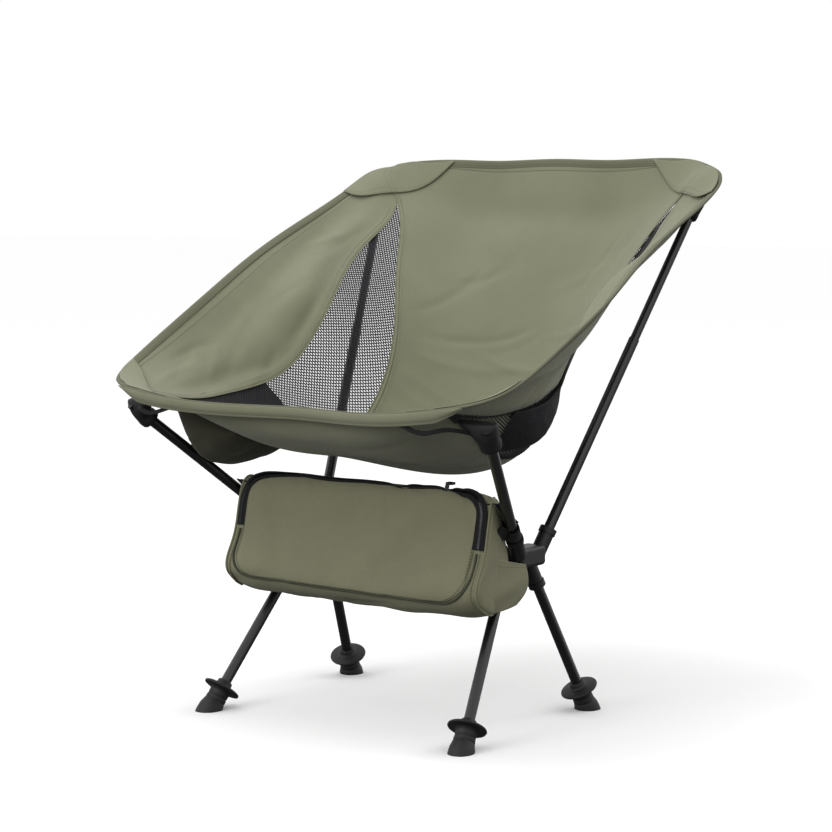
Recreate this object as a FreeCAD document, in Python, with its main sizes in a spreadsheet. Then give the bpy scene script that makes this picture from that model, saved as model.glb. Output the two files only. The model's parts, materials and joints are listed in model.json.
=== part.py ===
import FreeCAD, Part
import math
import os

# Ultralight backpacking chair: shock-corded aluminium poles in two moulded hubs, a fabric sling
# hung on the four pole tips, and the stuff sack clipped between the front poles.
# Frame: +Z up, the sitter faces -Y, and left is the sitter's left, which is +X.
# The origin is on the floor under the middle of the chair. Millimetres.

Vector = FreeCAD.Vector
UP = Vector(0, 0, 1)

# name, hub-end point, outer-end point: the axes of the members on the left side
MEMBERS = (
    ("front_leg", (150.5, -50.6, 190), (185.5, -191.4, 0)),
    ("rear_leg", (151.6, -4.7, 186), (180.2, 83.3, 0)),
    ("front_pole", (172.2, -58.2, 208), (255.6, -245.8, 371)),
    ("rear_pole", (163.6, -4.7, 199), (244.4, 239.8, 630)),
)

DIMENSIONS = (
    ("tube_outer", 12.8),
    ("tube_wall", 0.9),
    ("upper_tube_outer", 10.9),
    ("upper_tube_wall", 0.8),
    ("telescope_height", 447),
    ("telescope_overlap", 40),
    ("bore_clearance", 0.1),
    ("socket_outer", 18.5),
    ("collar_outer", 21),
    ("collar_length", 7),
    ("leg_socket_depth", 31),
    ("pole_socket_depth", 34),
    ("hub_shell_width", 28),
    ("hub_shell_depth", 52),
    ("hub_shell_height", 24),
    ("hub_rounding", 5),
    ("hub_x", 156),
    ("crossbar_y", -27),
    ("crossbar_z", 199),
    ("crossbar_end", 150),
    ("crossbar_socket", 22),
    ("pin_radius", 2),
    ("pin_reach", 134),
    ("foot_hold", 14),
    ("foot_below", 16),
    ("foot_base_radius", 15.2),
    ("foot_neck_radius", 12.4),
    ("foot_neck_height", 27),
    ("foot_brim_radius", 23),
    ("foot_brim_top", 33),
    ("foot_collar_radius", 9.2),
    ("foot_top", 40),
    ("cord_radius", 1.4),
    ("stopper_radius", 4),
    ("stopper_length", 5),
    ("tip_length", 7),
    ("fabric_thickness", 0.8),
    ("mesh_thickness", 0.6),
    ("binding_thickness", 3.2),
    ("patch_lift", 3.0),
    ("cap_wall", 2.2),
    ("cap_grip", 22),
    ("cap_reach", 18),
    ("cap_flare", 7),
    ("pocket_length", 46),
    ("pocket_wall", 1.2),
    ("side_pocket_sag", 46),
    ("side_pocket_gape", 14),
    ("bag_length", 324),
    ("bag_end_bulge", 18),
    ("bag_wall", 1.2),
    ("bag_panel", 1),
    ("piping_radius", 1.8),
    ("slider_place", 118),
    ("slider_lift", 5.4),
    ("slider_length", 9),
    ("slider_width", 7),
    ("slider_height", 3),
    ("pull_length", 22),
    ("pull_width", 5),
    ("pull_thickness", 1.6),
    ("pull_gap", 0.5),
    ("pull_slant", -24),
    ("loop_width", 20),
    ("loop_offset", 8),
    ("loop_thickness", 1.6),
)

# Cross-sections of the sling from the front edge to the top edge of the back. Each has its middle
# point (y, z) and, out to the left side, a knee point, a flank point and the rim point (x, y, z).
SECTIONS = (
    ("front", (-256, 382), (90, -269, 382), (180, -284, 388), (251, -277, 398)),
    ("lip", (-234, 353), (98, -243, 357), (192, -261, 382), (268, -256, 405)),
    ("thigh", (-170, 321), (112, -177, 327), (206, -202, 378), (283, -207, 426)),
    ("seat", (-72, 303), (128, -81, 314), (219, -116, 386), (288, -139, 460)),
    ("hollow", (43, 278), (132, 22, 321), (214, -28, 423), (291, -59, 501)),
    ("lumbar", (135, 324), (120, 104, 379), (198, 47, 480), (288, 14, 541)),
    ("back", (197, 435), (112, 178, 468), (204, 137, 533), (284, 102, 581)),
    ("shoulder", (247, 562), (105, 250, 564), (200, 226, 597), (281, 198, 621)),
    ("nape", (263, 604), (99, 269, 604), (196, 253, 624), (275, 228, 637)),
    ("crest", (284, 664), (87, 282, 662), (174, 277, 664), (248, 260, 659)),
)

# Seams of the left half, as fractions (front to back, middle to rim)
STRIP_SEAM = ((0.02, 0.74), (0.08, 0.52), (0.18, 0.38), (0.32, 0.35), (0.45, 0.37),
              (0.60, 0.45), (0.75, 0.60), (0.88, 0.76), (0.975, 0.95))
WING_SEAM = ((0.03, 0.78), (0.10, 0.69), (0.25, 0.66), (0.40, 0.63), (0.52, 0.67),
             (0.65, 0.72), (0.78, 0.735), (0.86, 0.76))

# Outline of the stuff sack's section (y, z), from the zip down the front and round to the back
BAG_OUTLINE = ((-117, 284), (-143, 222), (-163, 162), (-133, 142), (-99, 148), (-77, 190),
               (-87, 240), (-101, 276))
BAG_MIDDLE = (-117, 212)

doc = FreeCAD.newDocument("BackpackingChair")
sheet = doc.addObject("Spreadsheet::Sheet", "Dims")
parts = {}


def fill_sheet():
    """Write every driving dimension into the sheet, one aliased cell each."""
    rows = list(DIMENSIONS)
    for name, near, far in MEMBERS:
        for end, point in (("hub", near), ("tip", far)):
            for axis, value in zip("xyz", point):
                rows.append(("%s_%s_%s" % (name, end, axis), value))
        rows.append((name + "_length", round((Vector(far) - Vector(near)).Length, 1)))
    for name, middle, knee, flank, rim in SECTIONS:
        rows.append((name + "_middle_y", middle[0]))
        rows.append((name + "_middle_z", middle[1]))
        for spot, point in (("knee", knee), ("flank", flank), ("rim", rim)):
            for axis, value in zip("xyz", point):
                rows.append(("%s_%s_%s" % (name, spot, axis), value))
    for number, (alias, value) in enumerate(rows, start=1):
        sheet.set("A%d" % number, alias)
        sheet.set("B%d" % number, str(value))
        sheet.setAlias("B%d" % number, alias)
    doc.recompute()


def dim(alias):
    """One driving dimension, as a plain number."""
    return float(sheet.get(alias))


def keep(name, body):
    """Register a finished sub-part under the name of its node."""
    body.Label = name
    parts[name] = body
    return body


def place(base, direction):
    """Placement at base with the local +Z along direction."""
    return FreeCAD.Placement(base, FreeCAD.Rotation(UP, direction))


def cylinder(radius, height, base, direction):
    """Part cylinder whose radius and height are sheet expressions."""
    solid = doc.addObject("Part::Cylinder", "Cylinder")
    solid.setExpression("Radius", radius)
    solid.setExpression("Height", height)
    solid.Placement = place(base, direction)
    return solid


def cone(bottom, top, height, base, direction):
    """Part cone whose sizes are sheet expressions."""
    solid = doc.addObject("Part::Cone", "Cone")
    solid.setExpression("Radius1", bottom)
    solid.setExpression("Radius2", top)
    solid.setExpression("Height", height)
    solid.Placement = place(base, direction)
    return solid


def box(length, width, height, corner):
    """Part box whose sizes are sheet expressions."""
    solid = doc.addObject("Part::Box", "Box")
    solid.setExpression("Length", length)
    solid.setExpression("Width", width)
    solid.setExpression("Height", height)
    solid.Placement = FreeCAD.Placement(corner, FreeCAD.Rotation())
    return solid


def fuse(pieces):
    """One solid from several."""
    joined = doc.addObject("Part::MultiFuse", "Fuse")
    joined.Shapes = pieces
    joined.Refine = True
    return joined


def cut(base, tools):
    """Base with one tool, or the fused tools, taken away."""
    removed = doc.addObject("Part::Cut", "Cut")
    removed.Base = base
    removed.Tool = tools[0] if len(tools) == 1 else fuse(tools)
    return removed


def member(name, side):
    """Hub end, outer end and unit direction of a member, on the side +1 (left) or -1 (right)."""
    near = Vector(*[dim("%s_hub_%s" % (name, axis)) for axis in "xyz"])
    far = Vector(*[dim("%s_tip_%s" % (name, axis)) for axis in "xyz"])
    near.x *= side
    far.x *= side
    return near, far, (far - near).normalize()


def word(side):
    return "left" if side > 0 else "right"


def make_tube(name, outer, wall, length, base, direction):
    """Round tube: outer diameter, wall and length are sheet expressions."""
    outside = cylinder("%s / 2" % outer, length, base, direction)
    inside = cylinder("%s / 2 - %s" % (outer, wall), "%s + 2" % length, base - direction, direction)
    return keep(name, cut(outside, [inside]))


def make_straight_tube(kind, side):
    """Leg or front pole: one tube from its socket floor to its outer end."""
    near, _, direction = member(kind, side)
    shortening = " - Dims.foot_hold" if kind.endswith("leg") else ""
    length = "Dims.%s_length%s" % (kind, shortening)
    make_tube("%s_%s" % (kind, word(side)), "Dims.tube_outer", "Dims.tube_wall", length, near, direction)


def make_rear_pole(side):
    """Rear pole: a lower tube, and a thinner upper tube that telescopes into it."""
    near, far, direction = member("rear_pole", side)
    rise = (dim("telescope_height") - near.z) / direction.z
    overlap = dim("telescope_overlap")
    lower = "%s" % round(rise, 1)
    upper = "Dims.rear_pole_length - %s + Dims.telescope_overlap" % round(rise, 1)
    make_tube("rear_pole_lower_" + word(side), "Dims.tube_outer", "Dims.tube_wall", lower, near, direction)
    start = near + direction * (rise - overlap)
    make_tube("rear_pole_upper_" + word(side), "Dims.upper_tube_outer", "Dims.upper_tube_wall",
              upper, start, direction)


def make_tip(kind, outer, wall, side):
    """Plug that closes the outer end of an upper pole and seats in the sling's pocket."""
    _, far, direction = member(kind, side)
    shank = cylinder("%s / 2 - %s - 0.05" % (outer, wall), "Dims.tip_length", far - direction * 6, direction)
    head = cylinder("%s / 2 - 0.3" % outer, "1.6", far, direction)
    keep("%s_tip_%s" % (kind, word(side)), fuse([shank, head]))


def make_cord(kind, side):
    """Shock cord along the inside of a member, from the socket floor to its knot and stopper."""
    near, _, direction = member(kind, side)
    reach = {"front_leg": 0.80, "rear_leg": 0.80, "rear_pole": 0.90}[kind]
    length = dim(kind + "_length") * reach
    cord = cylinder("Dims.cord_radius", "Dims.%s_length * %s" % (kind, reach), near, direction)
    stopper = cylinder("Dims.stopper_radius", "Dims.stopper_length", near + direction * length, direction)
    keep("%s_cord_%s" % (kind, word(side)), fuse([cord, stopper]))


def make_foot(kind, side):
    """Rubber foot: a top-hat profile turned about the leg, trimmed flat at the floor."""
    _, ground, direction = member(kind, side)
    upward = direction * -1
    base = ground - upward * dim("foot_below")
    below = "Dims.foot_below"
    body = cone("Dims.foot_base_radius", "Dims.foot_neck_radius", "Dims.foot_neck_height + " + below,
                base, upward)
    brim = cylinder("Dims.foot_brim_radius", "Dims.foot_brim_top - Dims.foot_neck_height",
                    ground + upward * dim("foot_neck_height"), upward)
    rolled = doc.addObject("Part::Fillet", "Fillet")
    rolled.Base = brim
    doc.recompute()
    rolled.Edges = [(1, 2.2, 2.2), (3, 2.2, 2.2)]
    collar = cylinder("Dims.foot_collar_radius", "Dims.foot_top - Dims.foot_neck_height",
                      ground + upward * dim("foot_neck_height"), upward)
    bore = cylinder("Dims.tube_outer / 2", "Dims.foot_top", ground + upward * dim("foot_hold"), upward)
    floor = box("80", "80", "60", Vector(ground.x - 40, ground.y - 40, -60))
    keep("%s_foot_%s" % (kind, word(side)), cut(fuse([body, rolled, collar]), [bore, floor]))


def make_hub(side):
    """Moulded hub: a rounded core with four pole sockets and one for the crossbar."""
    width = dim("hub_shell_width")
    corner = Vector(side * dim("hub_x") - width / 2 + side * 5, dim("crossbar_y") - dim("hub_shell_depth") / 2,
                    dim("crossbar_z") - dim("hub_shell_height") / 2)
    core = box("Dims.hub_shell_width", "Dims.hub_shell_depth", "Dims.hub_shell_height", corner)
    rounded = doc.addObject("Part::Fillet", "Fillet")
    rounded.Base = core
    doc.recompute()
    rounded.Edges = [(edge, dim("hub_rounding"), dim("hub_rounding")) for edge in range(1, 13)]
    solids = [rounded]
    bores = []
    for kind, depth in (("front_leg", "leg"), ("rear_leg", "leg"), ("front_pole", "pole"), ("rear_pole", "pole")):
        near, _, direction = member(kind, side)
        length = "Dims.%s_socket_depth" % depth
        mouth = near + direction * (dim(depth + "_socket_depth") - dim("collar_length"))
        solids.append(cylinder("Dims.socket_outer / 2", length + " + 5", near - direction * 5, direction))
        solids.append(cylinder("Dims.collar_outer / 2", "Dims.collar_length", mouth, direction))
        bores.append(cylinder("Dims.tube_outer / 2 + Dims.bore_clearance / 2", length + " + 2", near, direction))
    inward = Vector(-side, 0, 0)
    seat = Vector(side * dim("crossbar_end"), dim("crossbar_y"), dim("crossbar_z"))
    solids.append(cylinder("Dims.socket_outer / 2", "Dims.crossbar_socket", seat, inward))
    bores.append(cylinder("Dims.tube_outer / 2", "Dims.crossbar_socket + 1", seat, inward))
    pin = Vector(side * dim("pin_reach"), dim("crossbar_y"), dim("crossbar_z") - 15)
    bores.append(cylinder("Dims.pin_radius", "30", pin, UP))
    keep("hub_" + word(side), cut(fuse(solids), bores))


def make_crossbar():
    """Crossbar between the hubs, with the two rivets that hold it in their sockets."""
    start = Vector(-dim("crossbar_end"), dim("crossbar_y"), dim("crossbar_z"))
    outside = cylinder("Dims.tube_outer / 2", "2 * Dims.crossbar_end", start, Vector(1, 0, 0))
    inside = cylinder("Dims.tube_outer / 2 - Dims.tube_wall", "2 * Dims.crossbar_end", start, Vector(1, 0, 0))
    holes = []
    rivets = []
    for side in (1, -1):
        foot = Vector(side * dim("pin_reach"), dim("crossbar_y"), dim("crossbar_z") - 10)
        holes.append(cylinder("Dims.pin_radius", "20", foot, UP))
        rivets.append(cylinder("Dims.pin_radius", "20", foot, UP))
    keep("crossbar", cut(outside, [inside] + holes))
    keep("crossbar_rivets", fuse(rivets))


def sling_surface():
    """The sling's middle surface through its cross-sections, right rim to left rim."""
    rows = []
    for name, _, _, _, _ in SECTIONS:
        left = []
        for spot in ("knee", "flank", "rim"):
            left.append(Vector(*[dim("%s_%s_%s" % (name, spot, axis)) for axis in "xyz"]))
        right = [Vector(-point.x, point.y, point.z) for point in reversed(left)]
        middle = Vector(0, dim(name + "_middle_y"), dim(name + "_middle_z"))
        rows.append(right + [middle] + left)
    surface = Part.BSplineSurface()
    surface.interpolate(rows)
    return surface


def on_sling(surface, back, out, lift):
    """Point at fractions back (0 front to 1 top) and out (-1 to 1), lifted along the normal,
    which points up and forward, towards the sitter."""
    first_u, last_u, first_v, last_v = surface.bounds()
    u = first_u + (last_u - first_u) * back
    v = (first_v + last_v) / 2 + (last_v - first_v) / 2 * out
    normal = surface.normal(u, v)
    if normal.z < 0 or (abs(normal.z) < 0.3 and normal.y > 0):
        normal = normal * -1
    return surface.value(u, v) + normal * lift


def seam_curve(points):
    """Smooth seam through (back, out) fractions, as a function of 0 to 1."""
    curve = Part.BSplineCurve()
    curve.interpolate([Vector(back, out, 0) for back, out in points])

    def at(share):
        spot = curve.value(curve.FirstParameter + (curve.LastParameter - curve.FirstParameter) * share)
        return spot.x, spot.y
    return at


def skin_solid(top_rows, bottom_rows):
    """Solid between two grids of points: two smooth faces and ruled sides, sewn together."""
    faces = []
    rims = []
    for rows in (top_rows, bottom_rows):
        surface = Part.BSplineSurface()
        surface.interpolate(rows)
        faces.append(surface.toShape())
        first_u, last_u, first_v, last_v = surface.bounds()
        rims.append([surface.uIso(first_u), surface.vIso(last_v), surface.uIso(last_u), surface.vIso(first_v)])
    for above, below in zip(*rims):
        faces.append(Part.makeRuledSurface(above.toShape(), below.toShape()))
    shell = Part.makeShell(faces)
    shell.sewShape()
    return Part.Solid(Part.Shell(shell.Faces))


def closed_skin(top_rows, bottom_rows):
    """The solid between two grids, with its faces outward whichever way the grids run."""
    solid = skin_solid(top_rows, bottom_rows)
    if solid.Volume < 0:
        solid = skin_solid([row[::-1] for row in top_rows], [row[::-1] for row in bottom_rows])
    return solid


def feature(name, shape):
    """Sub-part whose shape is made directly."""
    solid = doc.addObject("Part::Feature", name)
    solid.Shape = shape
    solid.Placement = FreeCAD.Placement()
    return keep(name, solid)


def sling_panel(surface, near_edge, far_edge, lifts, rows, columns):
    """Closed panel of the sling between two edges, each a function giving (back, out)."""
    grids = []
    for lift in lifts:
        grid = []
        for row in range(rows + 1):
            share = row / rows
            back_a, out_a = near_edge(share)
            back_b, out_b = far_edge(share)
            line = []
            for column in range(columns + 1):
                mix = column / columns
                height = lift(share, mix) if callable(lift) else lift
                line.append(on_sling(surface, back_a + (back_b - back_a) * mix,
                                     out_a + (out_b - out_a) * mix, height))
            grid.append(line)
        grids.append(grid)
    return closed_skin(grids[0], grids[1])


def mirrored(edge):
    """The same edge on the right side."""
    return lambda share: (edge(share)[0], -edge(share)[1])


def on_side(edge, side):
    return edge if side > 0 else mirrored(edge)


def make_seat_panel(surface):
    """Long middle panel from the front edge over the seat and up the back."""
    seam = seam_curve(STRIP_SEAM)
    half = dim("fabric_thickness") / 2
    feature("seat_panel", sling_panel(surface, mirrored(seam), seam, (half, -half), 16, 12))


def make_sides(surface, side):
    """Mesh side panel, fabric wing and the reinforcing patches of one side."""
    strip = seam_curve(STRIP_SEAM)
    wing = seam_curve(WING_SEAM)
    fabric = dim("fabric_thickness") / 2
    mesh = dim("mesh_thickness") / 2
    gap = 0.004

    def mesh_inner(share):
        along = 0.03 + 0.80 * share
        back, out = strip(along)
        return back, out + gap

    def mesh_outer(share):
        back, out = wing(share)
        return back, out - gap

    def wing_inner(share):
        if share < 0.85:
            return wing(share / 0.85)
        back, out = strip(0.83 + 0.15 * (share - 0.85) / 0.15)
        return back, out + gap

    def wing_outer(share):
        return 0.03 + 0.93 * share, 0.975

    name = word(side)
    feature("mesh_panel_" + name,
            sling_panel(surface, on_side(mesh_inner, side), on_side(mesh_outer, side), (mesh, -mesh), 14, 4))
    feature("wing_panel_" + name,
            sling_panel(surface, on_side(wing_inner, side), on_side(wing_outer, side), (fabric, -fabric), 16, 5))


def make_patch(surface, name, corners, side):
    """Reinforcing patch on the inner face: a four-cornered overlay given by its fractions."""
    (a, b, c, d) = corners
    low = dim("patch_lift")
    lift = (low + dim("fabric_thickness"), low)

    def first(share):
        return a[0] + (b[0] - a[0]) * share, a[1] + (b[1] - a[1]) * share

    def second(share):
        return d[0] + (c[0] - d[0]) * share, d[1] + (c[1] - d[1]) * share

    solid = sling_panel(surface, on_side(first, side), on_side(second, side), lift, 5, 5)
    feature("%s_%s" % (name, word(side)), solid)


def make_binding(surface):
    """Bound edge of the sling in four runs: front, both sides and top."""
    half = dim("binding_thickness") / 2
    lifts = (half, -half)
    feature("binding_front", sling_panel(surface, lambda share: (0.0, 2 * share - 1),
                                         lambda share: (0.018, 2 * share - 1), lifts, 20, 1))
    feature("binding_top", sling_panel(surface, lambda share: (0.983, 2 * share - 1),
                                       lambda share: (1.0, 2 * share - 1), lifts, 20, 1))
    for side in (1, -1):
        feature("binding_side_" + word(side),
                sling_panel(surface, lambda share: (0.021 + 0.959 * share, 0.978 * side),
                            lambda share: (0.021 + 0.959 * share, 1.0 * side), lifts, 20, 1))


def make_front_cap(side):
    """Black corner cap under the front rim, with a blind bore for the pole tip."""
    _, far, direction = member("front_pole", side)
    start = far - direction * dim("cap_grip")
    inner = "Dims.tube_outer / 2 + 0.1"
    outside = cone("%s + Dims.cap_wall" % inner, "%s + Dims.cap_wall + Dims.cap_flare" % inner,
                   "Dims.cap_grip + Dims.cap_reach", start, direction)
    bore = cylinder(inner, "Dims.cap_grip + 4", start - direction, direction)
    keep("front_cap_" + word(side), cut(outside, [bore]))


def make_rear_pocket(side):
    """Sleeve behind the top corner that the rear pole's tip sits in."""
    _, far, direction = member("rear_pole", side)
    start = far - direction * (dim("pocket_length") - 4)
    inner = "Dims.upper_tube_outer / 2 + 0.4"
    outside = cylinder("%s + Dims.pocket_wall" % inner, "Dims.pocket_length", start, direction)
    bore = cylinder(inner, "Dims.pocket_length - 1", start - direction, direction)
    keep("rear_pocket_" + word(side), cut(outside, [bore]))


def make_side_pocket(surface, side):
    """Hanging side pocket outside the mesh: shut below and at its ends, open at the top."""
    sag = dim("side_pocket_sag")
    gape = dim("side_pocket_gape")

    def inner(share, mix):
        middle = math.sin(math.pi * share)
        return -2.0 - middle * (sag * math.sin(math.pi * mix ** 0.8) + gape * mix)

    def outer(share, mix):
        return inner(share, mix) - dim("fabric_thickness")

    def low(share):
        return 0.08 + 0.24 * share, (0.46 - 0.05 * share) * side

    def high(share):
        return 0.06 + 0.26 * share, (0.70 - 0.06 * share) * side

    feature("side_pocket_" + word(side), sling_panel(surface, low, high, (inner, outer), 10, 8))


def make_front_strap(surface, side):
    """Webbing strap under the front edge that ties the corner cap to the seat."""
    lifts = (-2.4, -4.0)
    feature("front_strap_" + word(side),
            sling_panel(surface, lambda share: (0.022 + 0.012 * share, (0.82 - 0.34 * share) * side),
                        lambda share: (0.038 + 0.012 * share, (0.82 - 0.34 * share) * side), lifts, 6, 1))


def bag_outline(scale, station, grow):
    """Closed smooth section of the sack at x = station, scaled about its middle and grown."""
    middle = Vector(station, BAG_MIDDLE[0], BAG_MIDDLE[1])
    points = []
    for y, z in BAG_OUTLINE:
        away = Vector(station, y, z) - middle
        points.append(middle + away * scale + Vector(away).normalize() * grow)
    curve = Part.BSplineCurve()
    curve.interpolate(points, PeriodicFlag=True)
    return curve


def bag_loft(grow):
    """Solid of the sack's outside, grown by a distance."""
    half = dim("bag_length") / 2
    bulge = dim("bag_end_bulge") + grow
    profile = ((half - 8, 1.0), (half + bulge * 0.45, 0.88), (half + bulge, 0.62))
    straight = [(share * half, 1.0) for share in (-0.8, -0.4, 0, 0.4, 0.8)]
    stations = [(-x, scale) for x, scale in reversed(profile)] + straight + list(profile)
    wires = [Part.Wire(bag_outline(scale, station, grow).toShape()) for station, scale in stations]
    return Part.makeLoft(wires, True, False)


def bag_front_grid(lift, low, high, half, rows):
    """Grid of points over the sack's front between two shares of the outline's first stretch."""
    grid = []
    section = bag_outline(1.0, 0, lift)
    first, last = section.FirstParameter, section.LastParameter
    for row in range(rows + 1):
        x = -half + 2 * half * row / rows
        line = []
        for column in range(5):
            share = low + (high - low) * column / 4
            spot = section.value(first + (last - first) * (share % 1))
            line.append(Vector(x, spot.y, spot.z))
        grid.append(line)
    return grid


def zip_tape(half):
    """Tape folded over the sack's top front edge, in one straight run."""
    over = bag_front_grid(3.6, -0.035, 0.035, half, 1)[0]
    under = bag_front_grid(2.3, -0.035, 0.035, half, 1)[0]
    outline = Part.makePolygon(over + under[::-1] + over[:1])
    return Part.Face(outline).extrude(Vector(2 * half, 0, 0))


def make_bag():
    """Stuff sack: sewn shell, front panel, piping, zip tape, and the loops that hang it."""
    shell = bag_loft(0).cut(bag_loft(-dim("bag_wall")))
    feature("bag_shell", shell)
    half = dim("bag_length") / 2 - 10
    thickness = dim("bag_panel")
    feature("bag_front_panel", closed_skin(bag_front_grid(thickness + 2.2, 0.045, 0.29, half, 6),
                                           bag_front_grid(2.2, 0.045, 0.29, half, 6)))
    feature("zipper_tape", zip_tape(half))
    seam = bag_front_grid(4.4, 0.30, 0.32, half, 1)
    piping = cylinder("Dims.piping_radius", "Dims.bag_length - 20", seam[0][0], Vector(1, 0, 0))
    keep("bag_piping", piping)


def zip_spot(lift):
    """Point of the zip line's middle, over the sack's top front edge."""
    section = bag_outline(1.0, 0, lift)
    return section.value(section.FirstParameter)


def make_slider():
    """Zip slider on the tape near the left end of the zip, and the pull that hangs from it."""
    spot = zip_spot(dim("slider_lift"))
    corner = Vector(dim("slider_place") - dim("slider_length") / 2, spot.y - dim("slider_width") / 2, spot.z)
    keep("zipper_slider", box("Dims.slider_length", "Dims.slider_width", "Dims.slider_height", corner))
    hinge = Vector(dim("slider_place") - dim("pull_width") / 2, corner.y - dim("pull_gap"),
                   corner.z + dim("slider_height"))
    pull = box("Dims.pull_width", "Dims.pull_thickness", "Dims.pull_length", Vector())
    turn = FreeCAD.Rotation(Vector(1, 0, 0), 180 + dim("pull_slant"))
    half = dim("pull_thickness") / 2
    pull.Placement = FreeCAD.Placement(hinge + turn.multVec(Vector(0, 0, half)), turn)
    eye = cylinder("Dims.pull_thickness / 2", "Dims.pull_width", hinge + turn.multVec(Vector(0, half, half)),
                   Vector(1, 0, 0))
    keep("zipper_pull", fuse([pull, eye]))


def make_bag_loop(side):
    """Webbing loop round the front pole beside its hub, sewn to the end of the sack."""
    near, _, direction = member("front_pole", side)
    start = near + direction * (dim("pole_socket_depth") + dim("loop_offset"))
    ring = cylinder("Dims.tube_outer / 2 + 0.3 + Dims.loop_thickness", "Dims.loop_width", start, direction)
    bore = cylinder("Dims.tube_outer / 2 + 0.3", "Dims.loop_width + 2", start - direction, direction)
    keep("bag_loop_" + word(side), cut(ring, [bore]))


def check_and_export():
    """Refuse failed features or bad shapes, then write one file for each sub-part."""
    doc.recompute()
    for item in doc.Objects:
        if "Invalid" in item.State or "Error" in item.State:
            raise RuntimeError("failed feature: %s %s" % (item.Name, item.State))
    for name, body in parts.items():
        if body.Shape.isNull() or not body.Shape.isValid() or body.Shape.Volume <= 0:
            raise RuntimeError("bad shape: " + name)
    os.makedirs("parts", exist_ok=True)
    for name, body in parts.items():
        body.Shape.exportStep("parts/%s.step" % name)
        print("%-24s %9.0f mm3" % (name, body.Shape.Volume))


def build():
    fill_sheet()
    surface = sling_surface()
    make_crossbar()
    make_seat_panel(surface)
    make_binding(surface)
    make_bag()
    make_slider()
    for side in (1, -1):
        make_hub(side)
        for kind in ("front_leg", "rear_leg"):
            make_straight_tube(kind, side)
            make_foot(kind, side)
            make_cord(kind, side)
        make_straight_tube("front_pole", side)
        make_rear_pole(side)
        make_cord("rear_pole", side)
        make_tip("front_pole", "Dims.tube_outer", "Dims.tube_wall", side)
        make_tip("rear_pole", "Dims.upper_tube_outer", "Dims.upper_tube_wall", side)
        make_sides(surface, side)
        make_patch(surface, "top_patch", ((0.86, 0.79), (0.975, 0.62), (0.975, 0.96), (0.82, 0.96)), side)
        make_patch(surface, "front_patch", ((0.03, 0.82), (0.16, 0.70), (0.11, 0.96), (0.03, 0.96)), side)
        make_front_cap(side)
        make_rear_pocket(side)
        make_side_pocket(surface, side)
        make_front_strap(surface, side)
        make_bag_loop(side)
    check_and_export()


build()
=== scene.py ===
import json
import math

import bpy
import numpy as np
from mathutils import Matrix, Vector


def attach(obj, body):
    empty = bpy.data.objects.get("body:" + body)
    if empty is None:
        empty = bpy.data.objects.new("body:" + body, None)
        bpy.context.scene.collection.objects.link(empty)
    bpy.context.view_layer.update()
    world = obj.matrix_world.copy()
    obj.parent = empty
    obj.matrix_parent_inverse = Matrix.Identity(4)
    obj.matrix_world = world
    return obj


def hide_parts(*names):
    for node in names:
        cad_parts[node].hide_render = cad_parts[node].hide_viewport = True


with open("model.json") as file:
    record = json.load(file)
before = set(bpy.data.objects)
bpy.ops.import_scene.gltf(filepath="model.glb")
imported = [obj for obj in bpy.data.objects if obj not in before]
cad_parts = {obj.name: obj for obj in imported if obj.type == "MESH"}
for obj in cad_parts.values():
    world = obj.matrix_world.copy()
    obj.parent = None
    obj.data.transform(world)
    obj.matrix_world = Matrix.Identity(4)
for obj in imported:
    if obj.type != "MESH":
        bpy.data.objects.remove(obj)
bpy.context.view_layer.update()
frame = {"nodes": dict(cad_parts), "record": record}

MM = 0.001
SIDES = (("left", 1), ("right", -1))

# The sling's cross-sections from the front edge to the top of the back, in mm: the middle's (y, z),
# then a knee, a flank and a rim point (x, y, z) out to the left.
SECTIONS = (
    ((-256, 382), (90, -269, 382), (180, -284, 388), (251, -277, 398)),
    ((-234, 353), (98, -243, 357), (192, -261, 382), (268, -256, 405)),
    ((-170, 321), (112, -177, 327), (206, -202, 378), (283, -207, 426)),
    ((-72, 303), (128, -81, 314), (219, -116, 386), (288, -139, 460)),
    ((43, 278), (132, 22, 321), (214, -28, 423), (291, -59, 501)),
    ((135, 324), (120, 104, 379), (198, 47, 480), (288, 14, 541)),
    ((197, 435), (112, 178, 468), (204, 137, 533), (284, 102, 581)),
    ((247, 562), (105, 250, 564), (200, 226, 597), (281, 198, 621)),
    ((263, 604), (99, 269, 604), (196, 253, 624), (275, 228, 637)),
    ((284, 664), (87, 282, 662), (174, 277, 664), (248, 260, 659)),
)

# Seams of the left half: how far back from the front edge and how far out, as shares
STRIP_SEAM = ((0.0, 0.835), (0.05, 0.785), (0.12, 0.69), (0.18, 0.605), (0.24, 0.49),
              (0.30, 0.405), (0.36, 0.365), (0.45, 0.37), (0.60, 0.45),
              (0.75, 0.60), (0.88, 0.76), (0.975, 0.95), (1.0, 0.985))
WING_SEAM = ((0.0, 0.84), (0.03, 0.80), (0.10, 0.725), (0.25, 0.68), (0.40, 0.64), (0.52, 0.67),
             (0.65, 0.72), (0.78, 0.735), (0.88, 0.765), (0.975, 0.95), (1.0, 0.985))
# Rounded corners of the sling: edge, reach back and reach out, as shares
CORNERS = ((0.0, 0.030, 0.10), (1.0, 0.055, 0.17))
HALF_WIDTH = 0.335
LENGTH = 0.95

# Stuff sack's section, (y, z) in mm, from the zip down the front and round
BAG_OUTLINE = ((-117, 284), (-143, 222), (-163, 162), (-133, 142), (-99, 148), (-77, 190), (-87, 240),
               (-101, 276))
BAG_MIDDLE = np.array((-117, 212))
BAG_HALF = 171

# Hub end and outer end of the poles, in mm, on the left
FRONT_POLE = (np.array((172.2, -58.2, 208)), np.array((255.6, -245.8, 371)))
REAR_POLE = (np.array((163.6, -4.7, 199)), np.array((244.4, 239.8, 630)))
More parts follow.
